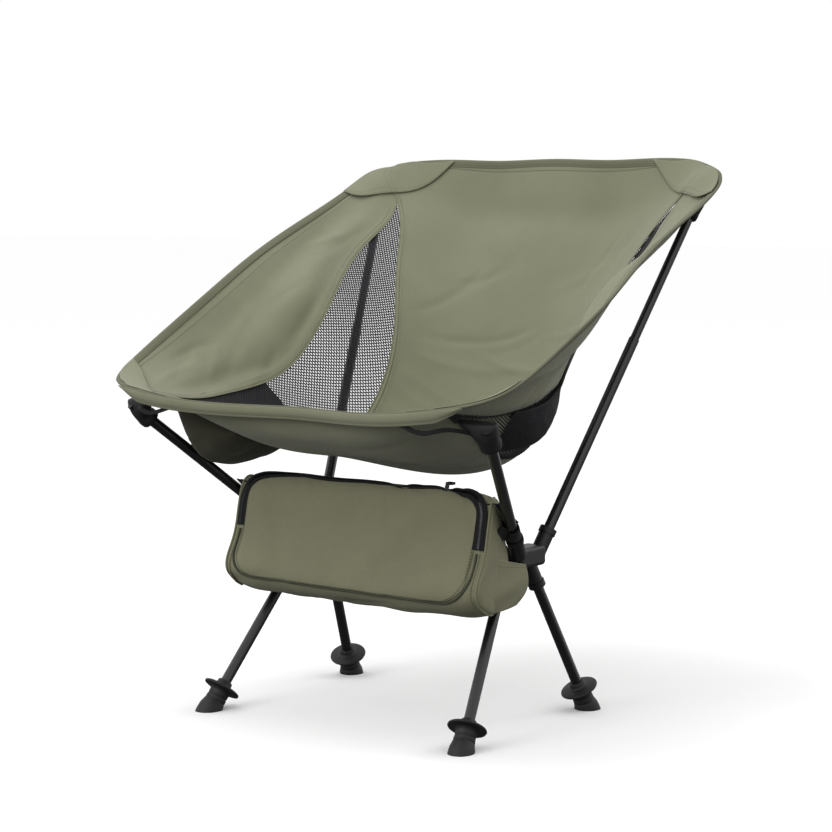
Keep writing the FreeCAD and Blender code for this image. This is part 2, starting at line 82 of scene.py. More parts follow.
# Top and ground end of the legs, and the turned foot's (height along the leg, radius), in mm
LEGS = {"front_leg": ((150.5, -50.6, 190), (185.5, -191.4, 0)),
        "rear_leg": ((151.6, -4.7, 186), (180.2, 83.3, 0))}
FOOT_PROFILE = ((-14, 14.4), (-6, 15.2), (0, 15.2), (5, 14.8), (9, 13.6), (12, 12.9), (12.4, 12.2),
                (13.4, 12.2), (13.8, 12.7), (18, 12.4), (18.4, 11.7), (19.4, 11.7), (19.8, 12.2),
                (25, 12.4), (27.5, 14.5), (28.2, 20.5), (28.8, 22.3), (30.0, 23.0), (31.4, 22.5),
                (32.2, 20.8), (32.8, 14.5), (33.4, 11.0), (35.0, 9.6), (38.8, 9.2), (40.0, 8.4),
                (40.2, 6.6))


# ---------------------------------------------------------------------------------------------
# Curves and the sling surface
# ---------------------------------------------------------------------------------------------
class Spline:
    """Natural cubic spline through values at the given knots."""

    def __init__(self, knots, values):
        self.t = np.asarray(knots, float)
        self.p = np.asarray(values, float)
        count = len(self.t)
        gaps = np.diff(self.t)
        matrix = np.eye(count)
        right = np.zeros_like(self.p)
        for i in range(1, count - 1):
            matrix[i, i - 1:i + 2] = gaps[i - 1], 2 * (gaps[i - 1] + gaps[i]), gaps[i]
            right[i] = 6 * ((self.p[i + 1] - self.p[i]) / gaps[i] - (self.p[i] - self.p[i - 1]) / gaps[i - 1])
        self.m = np.linalg.solve(matrix, right)

    def __call__(self, t):
        t = np.clip(np.asarray(t, float), self.t[0], self.t[-1])
        i = np.clip(np.searchsorted(self.t, t) - 1, 0, len(self.t) - 2)
        gap = self.t[i + 1] - self.t[i]
        a = (self.t[i + 1] - t) / gap
        b = 1 - a
        if self.p.ndim > 1:
            a, b, gap = a[..., None], b[..., None], gap[..., None]
        bend = ((a ** 3 - a) * self.m[i] + (b ** 3 - b) * self.m[i + 1]) * gap ** 2 / 6
        return a * self.p[i] + b * self.p[i + 1] + bend


def chord_steps(points):
    """Shares of a chain's length at its points, from 0 to 1."""
    steps = np.r_[0, np.cumsum(np.linalg.norm(np.diff(points, axis=0), axis=1))]
    return steps / steps[-1]


def unit(vectors):
    return vectors / np.maximum(np.linalg.norm(vectors, axis=-1, keepdims=True), 1e-12)


def dip(value, middle, width):
    """Smooth bump of height 1."""
    return np.exp(-((value - middle) / width) ** 2)


class Sling:
    """The sling's middle surface, by share back (0 front to 1 top) and share out (-1 to 1)."""

    def __init__(self):
        rows = []
        for middle, knee, flank, rim in SECTIONS:
            left = [np.array(p, float) for p in (knee, flank, rim)]
            right = [p * (-1, 1, 1) for p in reversed(left)]
            rows.append(right + [np.array((0, *middle), float)] + left)
        self.grid = np.array(rows) * MM
        across = np.mean([chord_steps(row) for row in self.grid], axis=0) * 2 - 1
        along = np.mean([chord_steps(column) for column in self.grid.transpose(1, 0, 2)], axis=0)
        self.over_out = Spline(across, np.eye(len(across)))
        self.over_back = Spline(along, np.eye(len(along)))

    def at(self, back, out):
        back, out = np.broadcast_arrays(np.asarray(back, float), np.asarray(out, float))
        return np.einsum("...i,...j,ijk->...k", self.over_back(back), self.over_out(out), self.grid)

    def normal(self, back, out):
        """Unit normals towards the sitter."""
        step = 0.004
        over = self.at(back, np.minimum(out + step, 1)) - self.at(back, np.maximum(out - step, -1))
        along = self.at(np.minimum(back + step, 1), out) - self.at(np.maximum(back - step, 0), out)
        return unit(np.cross(over, along))


SLING = Sling()
strip_edge = Spline(*zip(*STRIP_SEAM))
wing_edge = Spline(*zip(*WING_SEAM))


def rounded(back, out):
    """Shares with the sling's square corners drawn in to rounds."""
    back, out = np.array(back, float), np.array(out, float)
    for edge, along, across in CORNERS:
        x = (np.abs(out) - (1 - across)) / across
        y = (along - np.abs(back - edge)) / along
        corner = (x > 0) & (y > 0)
        x, y = np.where(corner, x, 1), np.where(corner, y, 1)
        pull = np.maximum(x, y) / np.hypot(x, y)
        out = np.where(corner, np.sign(out) * (1 - across + x * pull * across), out)
        back = np.where(corner, np.abs(edge - (1 - y * pull) * along), back)
    return back, out


def mm_out(back, out, distance):
    """How much share out a distance in mm is, at a spot."""
    step = 0.01
    scale = np.linalg.norm(SLING.at(back, out) - SLING.at(back, out - step), axis=-1) / step
    return distance * MM / scale


# ---------------------------------------------------------------------------------------------
# How the cloth lies: hems, folds and creases
# ---------------------------------------------------------------------------------------------
def make_creases(seed, count, across, along, angles, height, length):
    """Short creases strewn over a stretch of cloth, all in metres and radians."""
    draw = np.random.default_rng(seed)
    marks = []
    for _ in range(count):
        marks.append((draw.uniform(*across), draw.uniform(*along), draw.uniform(*angles),
                      draw.uniform(0.004, 0.009), draw.uniform(0.6, 1.3) * length,
                      draw.choice((-1, 1)) * draw.uniform(0.4, 1.0) * height, draw.uniform(-1.2, 1.2)))
    return marks


def crease_height(marks, x, y):
    total = np.zeros(np.broadcast(x, y).shape)
    for over, up, angle, width, length, height, bend in marks:
        along = (x - over) * math.cos(angle) + (y - up) * math.sin(angle)
        aside = (y - up) * math.cos(angle) - (x - over) * math.sin(angle) + bend * along ** 2
        total += height * np.exp(-(aside / width) ** 2 - (along / length) ** 4)
    return total


BACK_CREASES = (make_creases(3, 18, (-0.17, 0.17), (0.42, 0.80), (0.2, 1.4), 0.0019, 0.055)
                + make_creases(4, 14, (-0.16, 0.16), (0.42, 0.66), (-0.5, 0.5), 0.0022, 0.06)
                + make_creases(5, 14, (-0.20, 0.20), (0.03, 0.30), (-0.4, 0.4), 0.0014, 0.07))
WING_CREASES = (make_creases(7, 11, (0.235, 0.30), (0.12, 0.70), (1.2, 1.9), 0.0019, 0.05)
                + make_creases(8, 7, (0.215, 0.245), (0.30, 0.62), (1.3, 1.8), 0.0022, 0.035))


def hem(distance, width=8.5, rise=0.9):
    """Doubled edge of cloth with two sunk stitch lines; distance in mm from the edge."""
    band = 1 / (1 + np.exp((distance - width) * 2.2))
    grooves = 0.9 * dip(distance, 1.8, 0.8) + 0.9 * dip(distance, width - 2.0, 0.8)
    return (rise * band - grooves) * MM


def tip_bump(back, out):
    """The cloth standing over the rear poles' tips, at the top corners."""
    points = SLING.at(*rounded(back, out))
    total = np.zeros(points.shape[:-1])
    for side in (1, -1):
        tip = REAR_POLE[1] * (side, 1, 1) * MM
        total += 0.0075 * np.exp(-np.sum((points - tip) ** 2, -1) / 0.026 ** 2)
    return total


def edge_distance(back, out, edge):
    """Rough distance in mm from a seam."""
    return np.abs(np.abs(out) - edge(back)) * HALF_WIDTH / MM


def strip_lift(back, out):
    """Height of the seat-and-back cloth over the sling's middle surface."""
    away = edge_distance(back, out, strip_edge)
    rim = (1 - back) * LENGTH / MM
    lift = 0.0009 + hem(away) - 0.0005 * dip(rim, 17, 1.2)
    lift += crease_height(BACK_CREASES, out * HALF_WIDTH, back * LENGTH) * np.clip(away / 30, 0, 1)
    lift += tip_bump(back, out)
    lift -= 0.0040 * dip(back, 0.905, 0.03) * np.exp(-(out / 0.55) ** 6)
    lift -= 0.0030 * dip(back, 0.055, 0.025) * np.exp(-(out / 0.5) ** 6)
    return lift


def wing_lift(back, out):
    """Height of a wing's cloth over the sling's middle surface."""
    low = wing_edge(back)
    up = np.clip((np.abs(out) - low) / (1 - low), 0, 1)
    away = edge_distance(back, out, wing_edge)
    free = np.clip((0.86 - back) / 0.04, 0, 1) * np.clip((back - 0.01) / 0.05, 0, 1)
    lift = 0.0002 + hem(away, 9.5) * free
    lift -= 0.0075 * dip(up, 0.66, 0.17) * dip(back, 0.56, 0.26)
    lift += 0.0035 * dip(up, 0.36, 0.14) * dip(back, 0.55, 0.24)
    lift -= 0.0045 * dip(up, 0.20, 0.11) * dip(back, 0.24, 0.09)
    lift -= 0.0035 * dip(up, 0.15, 0.07) * dip(back, 0.50, 0.07)
    lift += tip_bump(back, out)
    marks = crease_height(WING_CREASES, np.abs(out) * HALF_WIDTH, back * LENGTH)
    lift += marks * np.clip(away / 12, 0.15, 1) * np.clip((1 - np.abs(out)) / 0.08, 0, 1)
    return lift


def mesh_lift(back, out):
    """The mesh lies just outside the cloth."""
    return np.full(np.shape(out), -0.0010)


def on_cloth(back, out, lift, extra=0.0):
    """Points and normals of a cloth at shares; lift is the cloth's own height function."""
    back, out = np.broadcast_arrays(np.asarray(back, float), np.asarray(out, float))
    normals = SLING.normal(*rounded(back, out))
    height = lift(back, out) + extra
    return SLING.at(*rounded(back, out)) + normals * height[..., None], normals


# ---------------------------------------------------------------------------------------------
# Mesh helpers
# ---------------------------------------------------------------------------------------------
def deselect():
    for item in list(bpy.context.selected_objects):
        item.select_set(False)


def activate(piece):
    deselect()
    piece.select_set(True)
    bpy.context.view_layer.objects.active = piece


def new_piece(name, points, faces, flat=None, smooth=True):
    """Mesh object at the origin; flat holds each point's place on the uncut cloth."""
    data = bpy.data.meshes.new(name)
    data.from_pydata(np.asarray(points, float).reshape(-1, 3).tolist(), [], [list(f) for f in faces])
    data.update()
    if flat is not None:
        layer = data.uv_layers.new(name="cloth")
        corners = np.empty(len(data.loops), dtype=np.int32)
        data.loops.foreach_get("vertex_index", corners)
        layer.data.foreach_set("uv", np.asarray(flat, float).reshape(-1, 2)[corners].ravel())
    data.polygons.foreach_set("use_smooth", [smooth] * len(data.polygons))
    piece = bpy.data.objects.new(name, data)
    bpy.context.collection.objects.link(piece)
    return piece


def grid_faces(rows, columns, around=False):
    """Quads of a grid of points; around closes each row on itself."""
    faces = []
    last = columns if around else columns - 1
    for r in range(rows - 1):
        for c in range(last):
            n = (c + 1) % columns
            faces.append((r * columns + c, r * columns + n, (r + 1) * columns + n, (r + 1) * columns + c))
    return faces


def skin_rings(name, rings):
    """Closed piece over rings of points, with flat ends, its faces turned outward."""
    rows, sides = len(rings), len(rings[0])
    faces = grid_faces(rows, sides, around=True)
    faces += [tuple(reversed(range(sides))), tuple(range((rows - 1) * sides, rows * sides))]
    piece = new_piece(name, rings, faces)
    face_outward(piece)
    return piece


def apply_modifier(piece, kind, **settings):
    activate(piece)
    modifier = piece.modifiers.new(kind.title(), kind)
    for key, value in settings.items():
        setattr(modifier, key, value)
    bpy.ops.object.modifier_apply(modifier=modifier.name)
    deselect()


def thicken(piece, thickness):
    """Give a sheet its thickness, half to each side."""
    apply_modifier(piece, "SOLIDIFY", thickness=thickness, offset=0.0)


def face_outward(piece):
    """Merge doubles and turn a closed piece's faces outward."""
    activate(piece)
    bpy.ops.object.mode_set(mode="EDIT")
    bpy.ops.mesh.select_all(action="SELECT")
    bpy.ops.mesh.remove_doubles(threshold=0.00001)
    bpy.ops.mesh.normals_make_consistent(inside=False)
    bpy.ops.object.mode_set(mode="OBJECT")
    deselect()


def finish_piece(piece, slot, finish=None, body="frame", replaced=()):
    """Material, slot, body and the CAD solids the piece stands for."""
    piece.data.materials.clear()
    piece.data.materials.append(MATERIALS[finish or slot])
    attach(piece, body)
    if replaced:
        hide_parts(*replaced)
    return piece


def resample(path, step, *others):
    """Evenly spaced points along a path, and any arrays that go with them."""
    reach = np.r_[0, np.cumsum(np.linalg.norm(np.diff(path, axis=0), axis=1))]
    spots = np.linspace(0, reach[-1], max(2, int(round(reach[-1] / step)) + 1))
    return [np.stack([np.interp(spots, reach, values[:, k]) for k in range(values.shape[1])], -1)
            for values in (path, *others)]


def sew(name, lines, slot, finish="thread", lift=0.0, step=0.0036, thread=0.00042):
    """Stitches along lines, each a pair of points and normals."""
    points, faces = [], []
    for path, normals in lines:
        path, normals = resample(path, step / 2, normals)
        for i in range(0, len(path) - 2, 2):
            start, end = path[i], path[i] + (path[i + 2] - path[i]) * 0.78
            up = unit(normals[i])
            side = unit(np.cross(end - start, up))
            middle = (start + end) / 2 + up * (lift + thread * 0.5)
            first = len(points)
            points += [start + up * (lift - thread * 0.9), middle + side * thread, middle + up * thread,
                       middle - side * thread, middle - up * thread, end + up * (lift - thread * 0.9)]
            for k in range(4):
                here, after = first + 1 + k, first + 1 + (k + 1) % 4
                faces.append((first, after, here))
                faces.append((first + 5, here, after))
    return finish_piece(new_piece(name, points, faces, smooth=True), slot, finish)


def sweep(name, path, sections, ups, closed=False):
    """Solid swept along a path: sections give (aside, up) of each outline point at each path point."""
    path = np.asarray(path, float)
    if closed:
        ahead = np.roll(path, -1, axis=0) - np.roll(path, 1, axis=0)
    else:
        ahead = np.gradient(path, axis=0)
    ahead = unit(ahead)
    aside = unit(np.cross(ahead, ups))
    up = unit(np.cross(aside, ahead))
    sections = np.asarray(sections, float)
    if sections.ndim == 2:
        sections = np.repeat(sections[None], len(path), axis=0)
    points = path[:, None] + aside[:, None] * sections[..., :1] + up[:, None] * sections[..., 1:]
    rows, columns = points.shape[:2]
    faces = grid_faces(rows, columns, around=True)
    if closed:
        tail = (rows - 1) * columns
        faces += [(tail + c, tail + (c + 1) % columns, (c + 1) % columns, c) for c in range(columns)]
    else:
        faces += [tuple(reversed(range(columns))), tuple(range((rows - 1) * columns, rows * columns))]
    lengthwise = np.r_[0, np.cumsum(np.linalg.norm(np.diff(path, axis=0), axis=1))]
    around = np.arange(columns) * 0.001
    flat = np.stack(np.broadcast_arrays(around[None], lengthwise[:, None]), -1)
    piece = new_piece(name, points, faces, flat)
    face_outward(piece)
    return piece


def flat_section(width, thickness):
    """Outline of a flat strap with softly rounded edges."""
    w, t = width / 2, thickness / 2
    return [(-w, -t * 0.5), (-w * 0.93, -t), (w * 0.93, -t), (w, -t * 0.5),
            (w, t * 0.5), (w * 0.93, t), (-w * 0.93, t), (-w, t * 0.5)]


def round_section(radius, sides=12):
    return [(math.cos(2 * math.pi * k / sides) * radius, math.sin(2 * math.pi * k / sides) * radius)
            for k in range(sides)]


def smooth_path(points, count=60):
    points = np.asarray(points, float)
    return Spline(chord_steps(points), points)(np.linspace(0, 1, count))


# ---------------------------------------------------------------------------------------------
# Materials
# ---------------------------------------------------------------------------------------------
def srgb(red, green, blue):
    """Linear colour from display values of 0 to 255."""
    made = []
    for value in (red, green, blue):
        value /= 255
        made.append(value / 12.92 if value <= 0.04045 else ((value + 0.055) / 1.055) ** 2.4)
    return tuple(made)


def new_material(name, colour, roughness, metallic=0.0):
    material = bpy.data.materials.new(name)
    material.use_nodes = True
    shader = material.node_tree.nodes["Principled BSDF"]
    shader.inputs["Base Color"].default_value = (*colour, 1)
    shader.inputs["Roughness"].default_value = roughness
    shader.inputs["Metallic"].default_value = metallic
    return material, material.node_tree, shader


def add_node(tree, kind, **settings):
    node = tree.nodes.new(kind)
    for key, value in settings.items():
        if key in node.inputs:
            node.inputs[key].default_value = value
        else:
            setattr(node, key, value)
    return node


def bump(tree, shader, height, strength, distance, below=None):
    """Bump from a height socket, over another bump if one is given."""
    node = add_node(tree, "ShaderNodeBump", Strength=strength, Distance=distance)
    tree.links.new(height, node.inputs["Height"])
    if below is not None:
        tree.links.new(below.outputs["Normal"], node.inputs["Normal"])
    tree.links.new(node.outputs["Normal"], shader.inputs["Normal"])
    return node


def tint(tree, shader, factor, low, high):
    """Base colour mixed between two by a factor socket."""
    mix = add_node(tree, "ShaderNodeMix", data_type="RGBA")
    mix.inputs["A"].default_value = (*low, 1)
    mix.inputs["B"].default_value = (*high, 1)
    tree.links.new(factor, mix.inputs["Factor"])
    tree.links.new(mix.outputs["Result"], shader.inputs["Base Color"])


def noise_on(tree, coordinates, scale, detail):
    node = add_node(tree, "ShaderNodeTexNoise", Scale=scale, Detail=detail)
    tree.links.new(coordinates, node.inputs["Vector"])
    return node


def woven_cloth(name, colour, pitch=0.0011, relief=0.5, worn=0.10, flat=True, sheen=0.2, coarse=260.0):
    """Plain weave: warp and weft threads, uneven yarn, soft fading and a little sheen."""
    material, tree, shader = new_material(name, colour, 0.85)
    shader.inputs["Sheen Weight"].default_value = sheen
    shader.inputs["Sheen Roughness"].default_value = 0.5
    shader.inputs["Specular IOR Level"].default_value = 0.3
    place = add_node(tree, "ShaderNodeTexCoord")
    coordinates = place.outputs["UV" if flat else "Object"]
    waves = []
    for direction in ("X", "Y"):
        wave = add_node(tree, "ShaderNodeTexWave", bands_direction=direction, Scale=0.314 / pitch,
                        Distortion=0.5, Detail=1.0)
        tree.links.new(coordinates, wave.inputs["Vector"])
        waves.append(wave)
    weave = add_node(tree, "ShaderNodeMath", operation="MULTIPLY")
    tree.links.new(waves[0].outputs["Fac"], weave.inputs[0])
    tree.links.new(waves[1].outputs["Fac"], weave.inputs[1])
    slubs = []
    for stretch in ((1.0, 0.12, 1.0), (0.12, 1.0, 1.0)):
        turn = add_node(tree, "ShaderNodeMapping")
        turn.inputs["Scale"].default_value = stretch
        tree.links.new(coordinates, turn.inputs["Vector"])
        slubs.append(noise_on(tree, turn.outputs["Vector"], coarse * 3.4, 2.0))
    yarn = add_node(tree, "ShaderNodeMath", operation="ADD")
    tree.links.new(slubs[0].outputs["Fac"], yarn.inputs[0])
    tree.links.new(slubs[1].outputs["Fac"], yarn.inputs[1])
    cloud = noise_on(tree, coordinates, 16.0, 4.0)
    shade = add_node(tree, "ShaderNodeMath", operation="MULTIPLY_ADD")
    tree.links.new(yarn.outputs["Value"], shade.inputs[0])
    shade.inputs[1].default_value = 0.55
    tree.links.new(cloud.outputs["Fac"], shade.inputs[2])
    centred = add_node(tree, "ShaderNodeMath", operation="SUBTRACT")
    tree.links.new(shade.outputs["Value"], centred.inputs[0])
    centred.inputs[1].default_value = 0.55
    tint(tree, shader, centred.outputs["Value"], tuple(c * (1 - worn) for c in colour),
         tuple(min(1.0, c * (1 + worn)) for c in colour))
    first = bump(tree, shader, weave.outputs["Value"], relief, 0.0003)
    bump(tree, shader, yarn.outputs["Value"], 0.30, 0.0005, below=first)
    return material


def moulded(name, colour, roughness=0.55, grain=0.25, scale=900.0, spread=0.10):
    """Moulded plastic, rubber or thread with a fine grain and handling marks."""
    material, tree, shader = new_material(name, colour, roughness)
    place = add_node(tree, "ShaderNodeTexCoord").outputs["Object"]
    fine = noise_on(tree, place, scale, 2.0)
    broad = noise_on(tree, place, 45.0, 3.0)
    tint(tree, shader, broad.outputs["Fac"], tuple(c * 0.75 for c in colour), tuple(c * 1.3 for c in colour))
    rough = add_node(tree, "ShaderNodeMapRange")
    rough.inputs["To Min"].default_value = roughness - spread
    rough.inputs["To Max"].default_value = roughness + spread
    tree.links.new(broad.outputs["Fac"], rough.inputs["Value"])
    tree.links.new(rough.outputs["Result"], shader.inputs["Roughness"])
    bump(tree, shader, fine.outputs["Fac"], grain, 0.0002)
    return material


def metal(name, colour, roughness, metallic, coat=0.0):
    """Drawn metal with faint smudges."""
    material = moulded(name, colour, roughness, grain=0.06, scale=1800.0, spread=0.07)
    shader = material.node_tree.nodes["Principled BSDF"]
    shader.inputs["Metallic"].default_value = metallic
    shader.inputs["Coat Weight"].default_value = coat
    shader.inputs["Coat Roughness"].default_value = 0.2
    return material


MATERIALS = {
    "sling_fabric": woven_cloth("olive_canvas", srgb(126, 127, 104)),
    "binding": woven_cloth("olive_binding_tape", srgb(103, 104, 84), pitch=0.0016, relief=0.8, sheen=0.05),
    "bag_fabric": woven_cloth("olive_sack_cloth", srgb(125, 124, 100), sheen=0.1),
    # Pocket cloth: the sling's olive at about half its brightness, so the shade under the seat is painted
    # into its colour
    "pocket_fabric": woven_cloth("olive_pocket_cloth_painted_shade", srgb(66, 65, 52), sheen=0.1),
    "webbing": woven_cloth("black_webbing", srgb(17, 17, 19), pitch=0.0017, relief=0.9, flat=False,
                           sheen=0.05),
    "mesh": moulded("black_mesh_yarn", srgb(22, 21, 27), roughness=0.75),
    "anodised_tube": metal("black_anodised_tube", srgb(15, 15, 17), 0.27, 0.0, coat=0.35),
    "foot_rubber": moulded("black_foot_rubber", srgb(17, 17, 18), roughness=0.6, grain=0.35),
    "hub_plastic": moulded("black_hub_nylon", srgb(17, 17, 19), roughness=0.45),
    "cap_plastic": moulded("black_corner_cap", srgb(19, 19, 22), roughness=0.65, grain=0.4, scale=1400.0),
    "tip_plastic": moulded("black_pole_tip", srgb(17, 17, 18)),
    "zipper_tape": woven_cloth("black_zip_tape", srgb(20, 20, 21), pitch=0.0009, flat=False, sheen=0.05),
    "shock_cord": woven_cloth("black_shock_cord", srgb(30, 30, 30), pitch=0.0012, flat=False, sheen=0.05),
    "rivet_steel": metal("rivet_steel", srgb(120, 120, 122), 0.35, 1.0),
    "slider_metal": metal("black_slider_metal", srgb(40, 40, 42), 0.3, 0.8),
    "pull_plastic": moulded("black_pull_rubber", srgb(28, 28, 29)),
    "thread": moulded("dark_olive_thread", srgb(62, 64, 47), roughness=0.8),
}


def dress_cad_nodes():
    """Give every carried-over CAD node the finish of its record slot."""
    for entry in frame["record"]["subparts"]:
        node = frame["nodes"][entry["node"]]
        node.data.materials.clear()
        node.data.materials.append(MATERIALS[entry["material_slot"]])


# ---------------------------------------------------------------------------------------------
# Sling: middle panel, wings, mesh, patches, binding
# ---------------------------------------------------------------------------------------------
FABRIC = 0.0009
HEM_STEPS = (0, 0.9, 1.8, 2.7, 4.2, 5.6, 6.5, 7.4, 8.6, 10.0, 12.5, 16)


def cloth_sheet(name, backs, outs, lift, slot, replaced, finish=None):
    """Sheet of cloth over rows of shares back and a table of shares out."""
    backs = np.broadcast_to(np.asarray(backs)[:, None], outs.shape)
    points, _ = on_cloth(backs, outs, lift)
    flat = np.stack([outs * HALF_WIDTH, backs * LENGTH], -1)
    piece = new_piece(name, points, grid_faces(*outs.shape), flat)
    thicken(piece, FABRIC)
    return finish_piece(piece, slot, finish, replaced=replaced)


def make_seat_and_back():
    """One long panel from the front edge over the seat and up the back."""
    backs = np.r_[np.linspace(0, 0.03, 12), np.linspace(0.034, 0.96, 190), np.linspace(0.963, 1, 16)]
    edge = strip_edge(backs)
    steps = np.stack([mm_out(backs, edge, step) for step in HEM_STEPS], -1)
    left = edge[:, None] - steps
    inner = left[:, -1]
    middle = np.linspace(-1, 1, 111)[1:-1][None] * inner[:, None]
    outs = np.concatenate([-left, middle, left[:, ::-1]], axis=1)
    piece = cloth_sheet("seat_and_back", backs, outs, strip_lift, "sling_fabric", ["seat_panel"])


def make_wing(word, side):
    """Side panel between the mesh and the rim."""
    backs = np.r_[np.linspace(0, 0.04, 14), np.linspace(0.045, 0.95, 170), np.linspace(0.954, 1, 14)]
    edge = wing_edge(backs)
    low = edge - 0.012 * np.clip((backs - 0.86) / 0.03, 0, 1)
    steps = np.stack([mm_out(backs, edge, step) for step in HEM_STEPS], -1)
    near = np.minimum(low[:, None] + steps, 1 - 0.0005 * np.arange(len(HEM_STEPS), 0, -1))
    mix = np.linspace(0, 1, 36)[1:][None]
    outs = np.concatenate([near, near[:, -1:] + (1 - near[:, -1:]) * mix], axis=1) * side
    if side < 0:
        outs = outs[:, ::-1]
    piece = cloth_sheet("wing_" + word, backs, outs, wing_lift, "sling_fabric", ["wing_panel_" + word])


def honeycomb(name, across, along, pitch, inside, place, hole, thickness):
    """Open mesh of hexagonal holes over a flat stretch, put in space by place(x, y)."""
    rise = pitch * math.sqrt(3) / 2
    corners, faces, spots = {}, [], []
    rows = int((along[1] - along[0]) / rise)
    columns = int((across[1] - across[0]) / pitch)
    for r in range(rows):
        for c in range(columns):
            x = across[0] + (c + 0.5 * (r % 2)) * pitch
            y = along[0] + r * rise
            if not inside(x, y):
                continue
            face = []
            for k in range(6):
                turn = math.radians(60 * k + 30)
                spot = (x + math.cos(turn) * pitch / math.sqrt(3), y + math.sin(turn) * pitch / math.sqrt(3))
                key = (round(spot[0] / pitch * 6), round(spot[1] / pitch * 6))
                if key not in corners:
                    corners[key] = len(spots)
                    spots.append(spot)
                face.append(corners[key])
            faces.append(face)
    spots = np.array(spots)
    piece = new_piece(name, place(spots[:, 0], spots[:, 1]), faces, spots)
    activate(piece)
    bpy.ops.object.mode_set(mode="EDIT")
    bpy.ops.mesh.select_mode(type="FACE")
    bpy.ops.mesh.select_all(action="SELECT")
    bpy.ops.mesh.inset(thickness=pitch / 2 * (1 - hole), use_individual=True, use_even_offset=True)
    bpy.ops.mesh.delete(type="FACE")
    bpy.ops.object.mode_set(mode="OBJECT")
    thicken(piece, thickness)
    piece.data.polygons.foreach_set("use_smooth", [False] * len(piece.data.polygons))
    return piece


def make_mesh_panel(word, side):
    """Crescent of open mesh between the middle panel and a wing."""
    def inside(x, y):
        back = y / LENGTH
        return strip_edge(back) - 0.022 < x / HALF_WIDTH < wing_edge(back) + 0.024

    def place(x, y):
        return on_cloth(y / LENGTH, x / HALF_WIDTH * side, mesh_lift)[0]

    piece = honeycomb("mesh_" + word, (0.10, 0.27), (0.022, 0.85), 0.0042, inside, place, 0.62, 0.0004)
    finish_piece(piece, "mesh", replaced=["mesh_panel_" + word])


def make_patch(name, corners, side, lift, replaced):
    """Corner reinforcement: a curved overlay with a turned and stitched edge."""
    inner, outer = corners
    low, high = smooth_path(inner, 34), smooth_path(outer, 34)
    mix = np.r_[0, 0.02, 0.05, 0.09, 0.13, np.linspace(0.18, 1, 22)]
    spots = low[:, None] * (1 - mix[None, :, None]) + high[:, None] * mix[None, :, None]
    spots = np.clip(spots, 0.001, 0.999)
    backs, outs = spots[..., 0], spots[..., 1] * side
    rise = 0.0012 - 0.0005 * dip(mix, 0.05, 0.02) - 0.0005 * dip(mix, 0.0, 0.01)
    points, _ = on_cloth(backs, outs, lift)
    points = points + SLING.normal(*rounded(backs, outs)) * rise[None, :, None]
    if side < 0:
        points, backs, outs = points[:, ::-1], backs[:, ::-1], outs[:, ::-1]
    flat = np.stack([outs * HALF_WIDTH, backs * LENGTH], -1)
    piece = new_piece(name, points, grid_faces(*backs.shape), flat)
    thicken(piece, 0.0008)
    finish_piece(piece, "sling_fabric", replaced=replaced)
    return piece


TOP_ARC = ((0.865, 0.998), (0.862, 0.93), (0.880, 0.85), (0.905, 0.76), (0.945, 0.67), (0.998, 0.62))
TOP_RIM = ((0.885, 0.998), (0.92, 0.998), (0.95, 0.998), (0.998, 0.95), (0.998, 0.85), (0.998, 0.64))
FRONT_ARC = ((0.002, 0.67), (0.035, 0.745), (0.075, 0.84), (0.110, 0.93), (0.122, 0.998))
FRONT_RIM = ((0.002, 0.71), (0.002, 0.86), (0.012, 0.96), (0.055, 0.998), (0.112, 0.998))


def top_lift(back, out):
    return 0.0026 + tip_bump(back, out)


def front_lift(back, out):
    return np.full(np.shape(out), 0.0018)


def make_patches(word, side):
    top = make_patch("top_corner_" + word, (TOP_ARC, TOP_RIM), side, top_lift, ["top_patch_" + word])
    front = make_patch("front_corner_" + word, (FRONT_ARC, FRONT_RIM), side, front_lift,
                       ["front_patch_" + word])


def rim_shares(inset=0.0):
    """Closed run of shares round the rim, drawn in by a distance in mm."""
    down, over = inset * MM / LENGTH, inset * MM / (HALF_WIDTH * 0.97)
    side = np.linspace(0, 1, 190)
    front = np.linspace(-1, 1, 110)
    backs = np.concatenate([np.zeros(110), side, np.ones(110), side[::-1]])
    outs = np.concatenate([front, np.ones(190), -front, -np.ones(190)])
    keep = np.ones(len(backs), bool)
    for corner in (109, 299, 409, 599):
        keep[corner] = False
    backs, outs = backs[keep], outs[keep]
    backs, outs = rounded(backs, outs)
    return down + backs * (1 - 2 * down), outs * (1 - over)


def rim_line(inset, extra):
    """Points and normals round the rim, inset in mm, extra over the middle surface."""
    backs, outs = rim_shares(inset)
    normals = SLING.normal(backs, outs)
    points = SLING.at(backs, outs) + normals * extra
    return np.r_[points, points[:1]], np.r_[normals, normals[:1]]


BINDING_SECTION = ((9.2, 0.4), (9.2, 1.5), (8.3, 1.85), (7.3, 1.5), (6.2, 1.9), (3.0, 2.1), (0.6, 1.9),
                   (-1.1, 1.1), (-1.7, 0), (-1.1, -1.1), (0.6, -1.9), (3.0, -2.1), (6.2, -1.9),
                   (7.3, -1.5), (8.3, -1.85), (9.2, -1.5), (9.2, -0.4))


def make_binding():
    """Tape folded over the sling's edge all the way round."""
    path, normals = rim_line(0, 0)
    path, normals = path[:-1], normals[:-1]
    piece = sweep("rim_binding", path, np.array(BINDING_SECTION) * (-MM, MM), normals, closed=True)
    finish_piece(piece, "binding", replaced=["binding_front", "binding_top", "binding_side_left",
                                             "binding_side_right"])


def seam_line(edge, offset, lift, side, span, extra):
    """Stitch line beside a seam: offset in mm towards the cloth."""
    backs = np.linspace(*span, 260)
    outs = edge(backs)
    outs = (outs + mm_out(backs, outs, offset)) * side
    return on_cloth(backs, outs, lift, extra)


